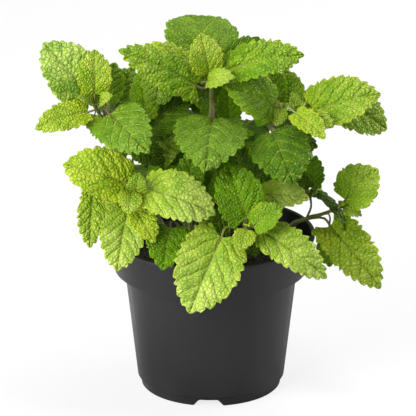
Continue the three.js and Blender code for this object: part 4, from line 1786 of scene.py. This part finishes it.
@dataclass
class Pot:
    """The moulded nursery pot, in millimetres."""

    rim_radius: float = 60.0
    height: float = 92.0
    wall: float = 1.3
    lip_out: float = 0.9
    lip_height: float = 2.0
    band_height: float = 21.0
    band_lower_radius: float = 55.6
    body_top_radius: float = 49.9
    body_bottom_radius: float = 42.5
    foot_height: float = 6.0
    foot_step: float = 0.8
    foot_top_radius: float = 41.3
    foot_radius: float = 40.3
    foot_round: float = 0.5
    foot_ring: float = 2.0
    floor_height: float = 5.0
    notch_top: float = 11.0
    notch_bottom: float = 17.6
    notch_height: float = 4.1
    notch_azimuths: tuple[float, ...] = (-92.0, 28.0, 148.0)
    drain_count: int = 6
    drain_radius: float = 4.0
    drain_circle: float = 26.0
    sides: int = 160
    edge_round: float = 0.45
    centre_radius: float = 4.0
    lip_slope: float = 0.3
    notch_round: float = 1.3
    notch_dip: float = 1.0

    def profile(self) -> list[tuple[float, float]]:
        """Lists the rings from the floor's underside round the wall to its top."""
        band = self.height - self.band_height
        lip = self.height - self.lip_height
        inner = self.rim_radius - self.lip_out - self.wall
        ring = self.foot_ring
        return [
            (self.centre_radius, self.floor_height),
            (self.foot_top_radius - ring, self.floor_height),
            (self.foot_radius - ring, 0),
            (self.foot_radius - self.foot_round, 0),
            (self.foot_radius, self.foot_round),
            (self.foot_top_radius, self.foot_height - self.foot_step),
            (self.body_bottom_radius, self.foot_height),
            (self.body_top_radius, band),
            (self.band_lower_radius, band),
            (self.rim_radius - self.lip_out, lip),
            (self.rim_radius, lip + self.lip_slope),
            (self.rim_radius, self.height),
            (inner, self.height),
            (inner, lip),
            (self.band_lower_radius - self.wall, band + self.wall),
            (self.body_top_radius - self.wall, band + self.wall),
            (self.body_bottom_radius - self.wall, self.floor_height + self.wall),
            (self.centre_radius, self.floor_height + self.wall),
        ]

    def cut(self, body: Object, tool: Object) -> None:
        """Cuts a tool out of the body and removes the tool."""
        cut = body.modifiers.new("cut", "BOOLEAN")
        cut.operation = "DIFFERENCE"
        cut.solver = "EXACT"
        cut.object = tool
        apply_modifiers(body)
        bpy.data.objects.remove(tool)

    def notch(self, azimuth: float) -> Object:
        """Makes the wedge that cuts one notch out of the foot ring.

        Args:
            azimuth: Where it is about the pot's axis, in degrees.

        Returns:
            The wedge.
        """
        deselect_all()
        deep = 3 * self.foot_ring
        bpy.ops.mesh.primitive_cube_add(size=1)
        wedge = bpy.context.object
        bottom = -self.notch_dip
        slope = (self.notch_bottom - self.notch_top) / 2 / self.notch_height
        for vertex in wedge.data.vertices:
            top = vertex.co.z > 0
            half = self.notch_top / 2 if top else self.notch_bottom / 2 - slope * bottom
            vertex.co.x = math.copysign(half, vertex.co.x) * MM
            vertex.co.y = (-self.foot_radius + math.copysign(deep, vertex.co.y)) * MM
            vertex.co.z = (self.notch_height if top else bottom) * MM
        wedge.rotation_euler.z = math.radians(azimuth + 90)
        rest_place(wedge)
        soft = wedge.modifiers.new("round", "BEVEL")
        soft.width = self.notch_round * MM
        soft.segments = 5
        apply_modifiers(wedge)
        return wedge

    def drain(self, azimuth: float) -> Object:
        """Makes the plug that cuts one drain hole.

        Args:
            azimuth: Where it is about the pot's axis, in degrees.

        Returns:
            The plug.
        """
        deselect_all()
        turn = math.radians(azimuth)
        centre = (
            self.drain_circle * MM * math.cos(turn),
            self.drain_circle * MM * math.sin(turn),
            (self.floor_height + self.wall / 2) * MM,
        )
        bpy.ops.mesh.primitive_cylinder_add(
            vertices=28, radius=self.drain_radius * MM, depth=4 * self.wall * MM, location=centre
        )
        plug = bpy.context.object
        rest_place(plug)
        return plug

    def build(self, material: Material) -> Object:
        """Builds the pot with its notches, drain holes and rounded edges.

        Args:
            material: The pot's material.

        Returns:
            The pot as one piece.
        """
        body = ring_body(self.profile(), self.sides, "nursery_pot")
        for azimuth in self.notch_azimuths:
            self.cut(body, self.notch(azimuth))
        for index in range(self.drain_count):
            self.cut(body, self.drain(360 * (index + 0.5) / self.drain_count))
        soft = body.modifiers.new("round", "BEVEL")
        soft.width = self.edge_round * MM
        soft.segments = 3
        soft.limit_method = "ANGLE"
        soft.angle_limit = math.radians(24)
        apply_modifiers(body)
        body.data.materials.clear()
        body.data.materials.append(material)
        smooth_below(body, 35)
        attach(body, "root")
        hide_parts("pot")
        LOG.info("%s: %d faces", body.name, len(body.data.polygons))
        return body


@dataclass(frozen=True)
class PotFinish:
    """The pot's satin plastic."""

    name: str = "pot_plastic"
    dark: Colour = (0.0108, 0.0108, 0.0111, 1)
    worn: Colour = (0.018, 0.018, 0.018, 1)
    roughness: float = 0.32

    def material(self, mottle: NodeTree) -> Material:
        """Makes moulded plastic with faint flow marks, dust and a fine grain.

        Args:
            mottle: The group that draws blotches.

        Returns:
            The material.
        """
        material, graph, shader = new_material(self.name)
        drawn_out = graph.node("ShaderNodeMapping")
        graph.fill(drawn_out, Vector=graph.where(), Scale=(1, 1, 0.25))
        blotch = graph.group(mottle, Vector=drawn_out.outputs[0], Coarse=28.0, Fine=1800.0)
        tone = blotch.outputs["Tone"]
        dust = graph.ramp(tone, 0.45, 0.75, 0.0, 0.6)
        graph.fill(
            shader,
            Base_Color=graph.mix(dust, self.dark, self.worn),
            Roughness=graph.ramp(tone, 0.3, 0.7, self.roughness - 0.04, self.roughness + 0.07),
            Specular_IOR_Level=0.48,
        )
        bump(graph, shader, blotch.outputs["Grain"], 0.04 * MM, 0.3)
        return material


@dataclass
class Soil:
    """The potting soil: a lumpy fill with crumbs and fibres on top, in millimetres."""

    top: float = 82.0
    gap: float = 0.4
    wall: float = 1.3
    lump: float = 1.1
    ring_pitch: float = 1.1
    sides: int = 220
    crumbs: int = 1500
    crumb_size: float = 1.1
    fibres: int = 170
    fibre_size: tuple[float, float, float] = (3.6, 0.5, 0.32)
    centre_radius: float = 6.0
    edge_depth: float = 1.4
    edge_drop: float = 1.2
    bare_edge: float = 2.2
    crumb_lift: float = 0.1
    fibre_lift: float = 0.25

    def height_at(self, x: float, y: float) -> float:
        """Gives the soil's height at a place.

        Args:
            x: Millimetres to the right of the pot's axis.
            y: Millimetres behind it.

        Returns:
            The height in millimetres.
        """
        broad = math.sin(x * 0.11 + 1) * math.cos(y * 0.13)
        fine = math.sin(x * 0.31 + y * 0.17) * math.sin(y * 0.37 + 2)
        crumbly = noise.fractal(Vector((x, y, 3.0)) * 0.35, 0.9, 2.2, 4)
        return self.top + self.lump * (broad + 0.6 * fine) + 0.9 * crumbly

    def rim_radius(self, pot: Pot) -> float:
        """Gives the soil's radius at its top edge."""
        shoulder = pot.height - pot.band_height + pot.wall
        rise = pot.height - pot.lip_height - shoulder
        slope = (pot.rim_radius - pot.lip_out - pot.band_lower_radius) / rise
        return pot.band_lower_radius - pot.wall - self.gap + slope * (self.top - shoulder)

    def fill(self, pot: Pot) -> Object:
        """Makes the fill, stepped to the pot's inside.

        Args:
            pot: The pot that it fills.

        Returns:
            The fill, with its uneven top.
        """
        shoulder = pot.height - pot.band_height + pot.wall + self.gap
        edge = self.rim_radius(pot)
        floor = pot.floor_height + pot.wall + self.gap
        profile = [
            (self.centre_radius, floor),
            (pot.body_bottom_radius - pot.wall - self.gap, floor),
            (pot.body_top_radius - pot.wall - self.gap, shoulder),
            (pot.band_lower_radius - pot.wall - self.gap, shoulder),
            (edge, self.top - self.edge_depth),
        ]
        rings = int(edge / self.ring_pitch)
        profile += [(edge * (1 - index / rings), self.top) for index in range(1, rings)]
        body = ring_body(profile, self.sides, "soil_fill")
        below_edge = self.top - self.edge_depth - 0.1
        for vertex in body.data.vertices:
            if vertex.co.z > below_edge * MM:
                x, y = vertex.co.x / MM, vertex.co.y / MM
                drop = 0.0 if math.hypot(x, y) / edge < 0.999 else self.edge_drop
                vertex.co.z = (self.height_at(x, y) - drop) * MM
        return body

    def lying(self, rng: Generator) -> ndarray:
        """Draws the three axes of a long piece that lies nearly flat."""
        spin = 2 * math.pi * rng.random()
        rise = 0.35 * (rng.random() - 0.3)
        long = unit(np.array([math.cos(spin), math.sin(spin), rise]))
        flat = unit(np.cross(long, (0, 0, 1)))
        return np.stack([long, flat, np.cross(long, flat)])

    def scatter(
        self, blank: Object, count: int, size: tuple[float, float, float], lift: float,
        reach: float, flat: bool, rng: Generator,
    ) -> tuple[list[ndarray], list[tuple[int, ...]]]:
        """Lays copies of a small piece over the soil.

        Args:
            blank: The piece to copy, which is removed.
            count: How many copies to make.
            size: The copies' mean size in millimetres along their own axes.
            lift: How far their middle lies above the soil, in millimetres.
            reach: The radius that they lie within, in millimetres.
            flat: Whether they lie nearly flat, or turned any way.
            rng: The random numbers.

        Returns:
            Each copy's points in millimetres, and one copy's faces.
        """
        corners, faces = taken(blank)
        clouds = []
        for _ in range(count):
            radius = reach * math.sqrt(rng.random())
            turn = 2 * math.pi * rng.random()
            x, y = radius * math.cos(turn), radius * math.sin(turn)
            scale = np.array(size) * (0.45 + 1.1 * rng.random()) * (0.8 + 0.4 * rng.random(3))
            ways = np.linalg.qr(rng.normal(size=(3, 3)))[0]
            if flat:
                ways = self.lying(rng)
            if np.linalg.det(ways) < 0:
                ways[0] *= -1
            rough = 1 + 0.25 * (rng.random(len(corners)) - 0.5)
            shaped = corners * rough[:, None] * scale
            clouds.append(shaped @ ways + np.array([x, y, self.height_at(x, y) + lift]))
        return clouds, faces

    def build(
        self, pot: Pot, ground: Material, bark: Material
    ) -> Object:
        """Builds the soil with its crumbs and fibres.

        Args:
            pot: The pot that it fills.
            ground: The soil's material.
            bark: The fibres' material.

        Returns:
            The soil as one piece.
        """
        rng = np.random.default_rng(SOIL_SEED)
        reach = self.rim_radius(pot) - self.bare_edge
        body = self.fill(pot)
        body.data.materials.append(ground)
        deselect_all()
        bpy.ops.mesh.primitive_ico_sphere_add(subdivisions=1, radius=0.5)
        blank, size = bpy.context.object, (self.crumb_size,) * 3
        laid = self.scatter(blank, self.crumbs, size, self.crumb_lift, reach, False, rng)
        crumbs = copies(*laid, "soil_crumbs", ground)
        deselect_all()
        bpy.ops.mesh.primitive_cylinder_add(vertices=5, radius=0.5, depth=1, rotation=(0, math.pi / 2, 0))
        blank = bpy.context.object
        rest_place(blank)
        laid = self.scatter(blank, self.fibres, self.fibre_size, self.fibre_lift, reach, True, rng)
        fibres = copies(*laid, "soil_fibres", bark)
        piece = joined([body, crumbs, fibres], "potting_soil")
        smooth_below(piece, 50)
        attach(piece, "root")
        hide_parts("soil")
        LOG.info("%s: %d faces", piece.name, len(piece.data.polygons))
        return piece


@dataclass(frozen=True)
class SoilFinish:
    """The colours of peat, grit and bark."""

    name: str
    dark: Colour
    light: Colour
    speck: Colour
    speck_share: float

    def material(self, mottle: NodeTree) -> Material:
        """Makes a dull crumbly material with lighter specks.

        Args:
            mottle: The group that draws blotches.

        Returns:
            The material.
        """
        material, graph, shader = new_material(self.name)
        blotch = graph.group(mottle, Vector=graph.where(), Coarse=420.0, Fine=1500.0)
        tone, grain = blotch.outputs["Tone"], blotch.outputs["Grain"]
        colour = graph.mix(graph.ramp(tone, 0.35, 0.7, 0, 1), self.dark, self.light)
        specks = graph.ramp(grain, 0.62, 0.7, 0.0, self.speck_share)
        graph.fill(
            shader,
            Base_Color=graph.mix(specks, colour, self.speck),
            Roughness=graph.ramp(grain, 0.3, 0.7, 0.75, 0.98),
        )
        bump(graph, shader, grain, 0.4 * MM, 0.8)
        return material


GROUND = SoilFinish(
    "potting_soil", (0.006, 0.004, 0.003, 1), (0.028, 0.019, 0.012, 1), (0.16, 0.13, 0.05, 1), 0.8
)
BARK = SoilFinish(
    "bark_fibre", (0.035, 0.022, 0.01, 1), (0.12, 0.085, 0.04, 1), (0.24, 0.19, 0.09, 1), 0.5
)


@dataclass
class Studio:
    """The pale floor, the soft light and the camera. Distances are in metres."""

    target: Place = (-0.0017, 0.0, 0.1067)
    distance: float = 2.5
    elevation: float = 20.0
    lens: float = 376.0
    sensor: float = 36.0

    def floor(self) -> None:
        """Lays a wide, pale, plain floor."""
        deselect_all()
        bpy.ops.mesh.primitive_plane_add(size=30)
        ground = bpy.context.object
        ground.name = "floor"
        material, graph, shader = new_material("pale_floor")
        looking = graph.node("ShaderNodeLightPath").outputs["Is Camera Ray"]
        graph.fill(
            shader,
            Base_Color=graph.mix(looking, (0.4, 0.4, 0.4, 1), (0.13, 0.13, 0.13, 1)),
            Emission_Strength=graph.times(looking, 0.82),
            Emission_Color=(1, 1, 1, 1),
            Roughness=0.9,
            Specular_IOR_Level=0.0,
        )
        ground.data.materials.append(material)

    def lamp(
        self, name: str, place: Place, size: tuple[float, float], glow: float, aim: Place | None = None
    ) -> None:
        """Hangs a soft lamp that points at the plant.

        Args:
            name: The lamp's name.
            place: Where it hangs.
            size: Its width and height.
            glow: How bright its face is, where 1 is white in the picture.
            aim: The point that it faces. Without it, the lamp faces the camera's target.
        """
        data = bpy.data.lights.new(name, "AREA")
        data.shape = "RECTANGLE"
        data.size, data.size_y = size
        data.energy = glow * math.pi * size[0] * size[1]
        lamp = linked(data, name)
        lamp.location = place
        way = Vector(aim or self.target) - Vector(place)
        lamp.rotation_euler = way.to_track_quat("-Z", "Y").to_euler()

    def light(self) -> None:
        """Lights the scene as a white studio does."""
        world = bpy.data.worlds.new("studio")
        world.use_nodes = True
        graph = Graph(world.node_tree)
        graph.fill(graph.tree.nodes["Background"], Color=(1, 1, 1, 1), Strength=0.14)
        bpy.context.scene.world = world
        self.lamp("key", (0.35, -0.15, 2.0), (0.5, 0.5), 25.5)
        self.lamp("panel", (-1.02, -0.64, 0.4), (1.3, 1.0), 6.8, (0, 0, 0.2))
        self.lamp("fill", (-0.9, -1.3, 1.3), (0.7, 0.7), 12)
        self.lamp("edge", (1.3, 0.55, 0.5), (0.9, 1.0), 6, (0, 0, 0.2))
        self.lamp("back", (0.3, 1.0, 1.6), (1.0, 1.0), 3)

    def camera(self) -> None:
        """Sets the camera at the photograph's viewing angle."""
        data = bpy.data.cameras.new("camera")
        data.lens = self.lens
        data.sensor_width = self.sensor
        data.clip_end = 60
        camera = linked(data, "camera")
        rise = math.radians(self.elevation)
        back = Vector((0, -math.cos(rise), math.sin(rise)))
        camera.location = Vector(self.target) + self.distance * back
        camera.rotation_euler = (-back).to_track_quat("-Z", "Y").to_euler()
        bpy.context.scene.camera = camera

    def set_up(self) -> None:
        """Sets up the floor, light, camera and colour."""
        self.floor()
        self.light()
        self.camera()
        bpy.context.scene.view_settings.view_transform = "Standard"


def main() -> None:
    """Builds the pot, the soil and the plant, and sets up the studio."""
    logging.basicConfig(level=logging.INFO, format="%(name)s: %(message)s")
    Studio().set_up()
    mottle = mottle_group()
    pot = Pot()
    pot.build(PotFinish().material(mottle))
    Soil().build(pot, GROUND.material(mottle), BARK.material(mottle))
    Foliage(SHOOTS).dress(vein_group(), mottle)
    BENCH.clear()


if __name__ == "__main__":
    main()
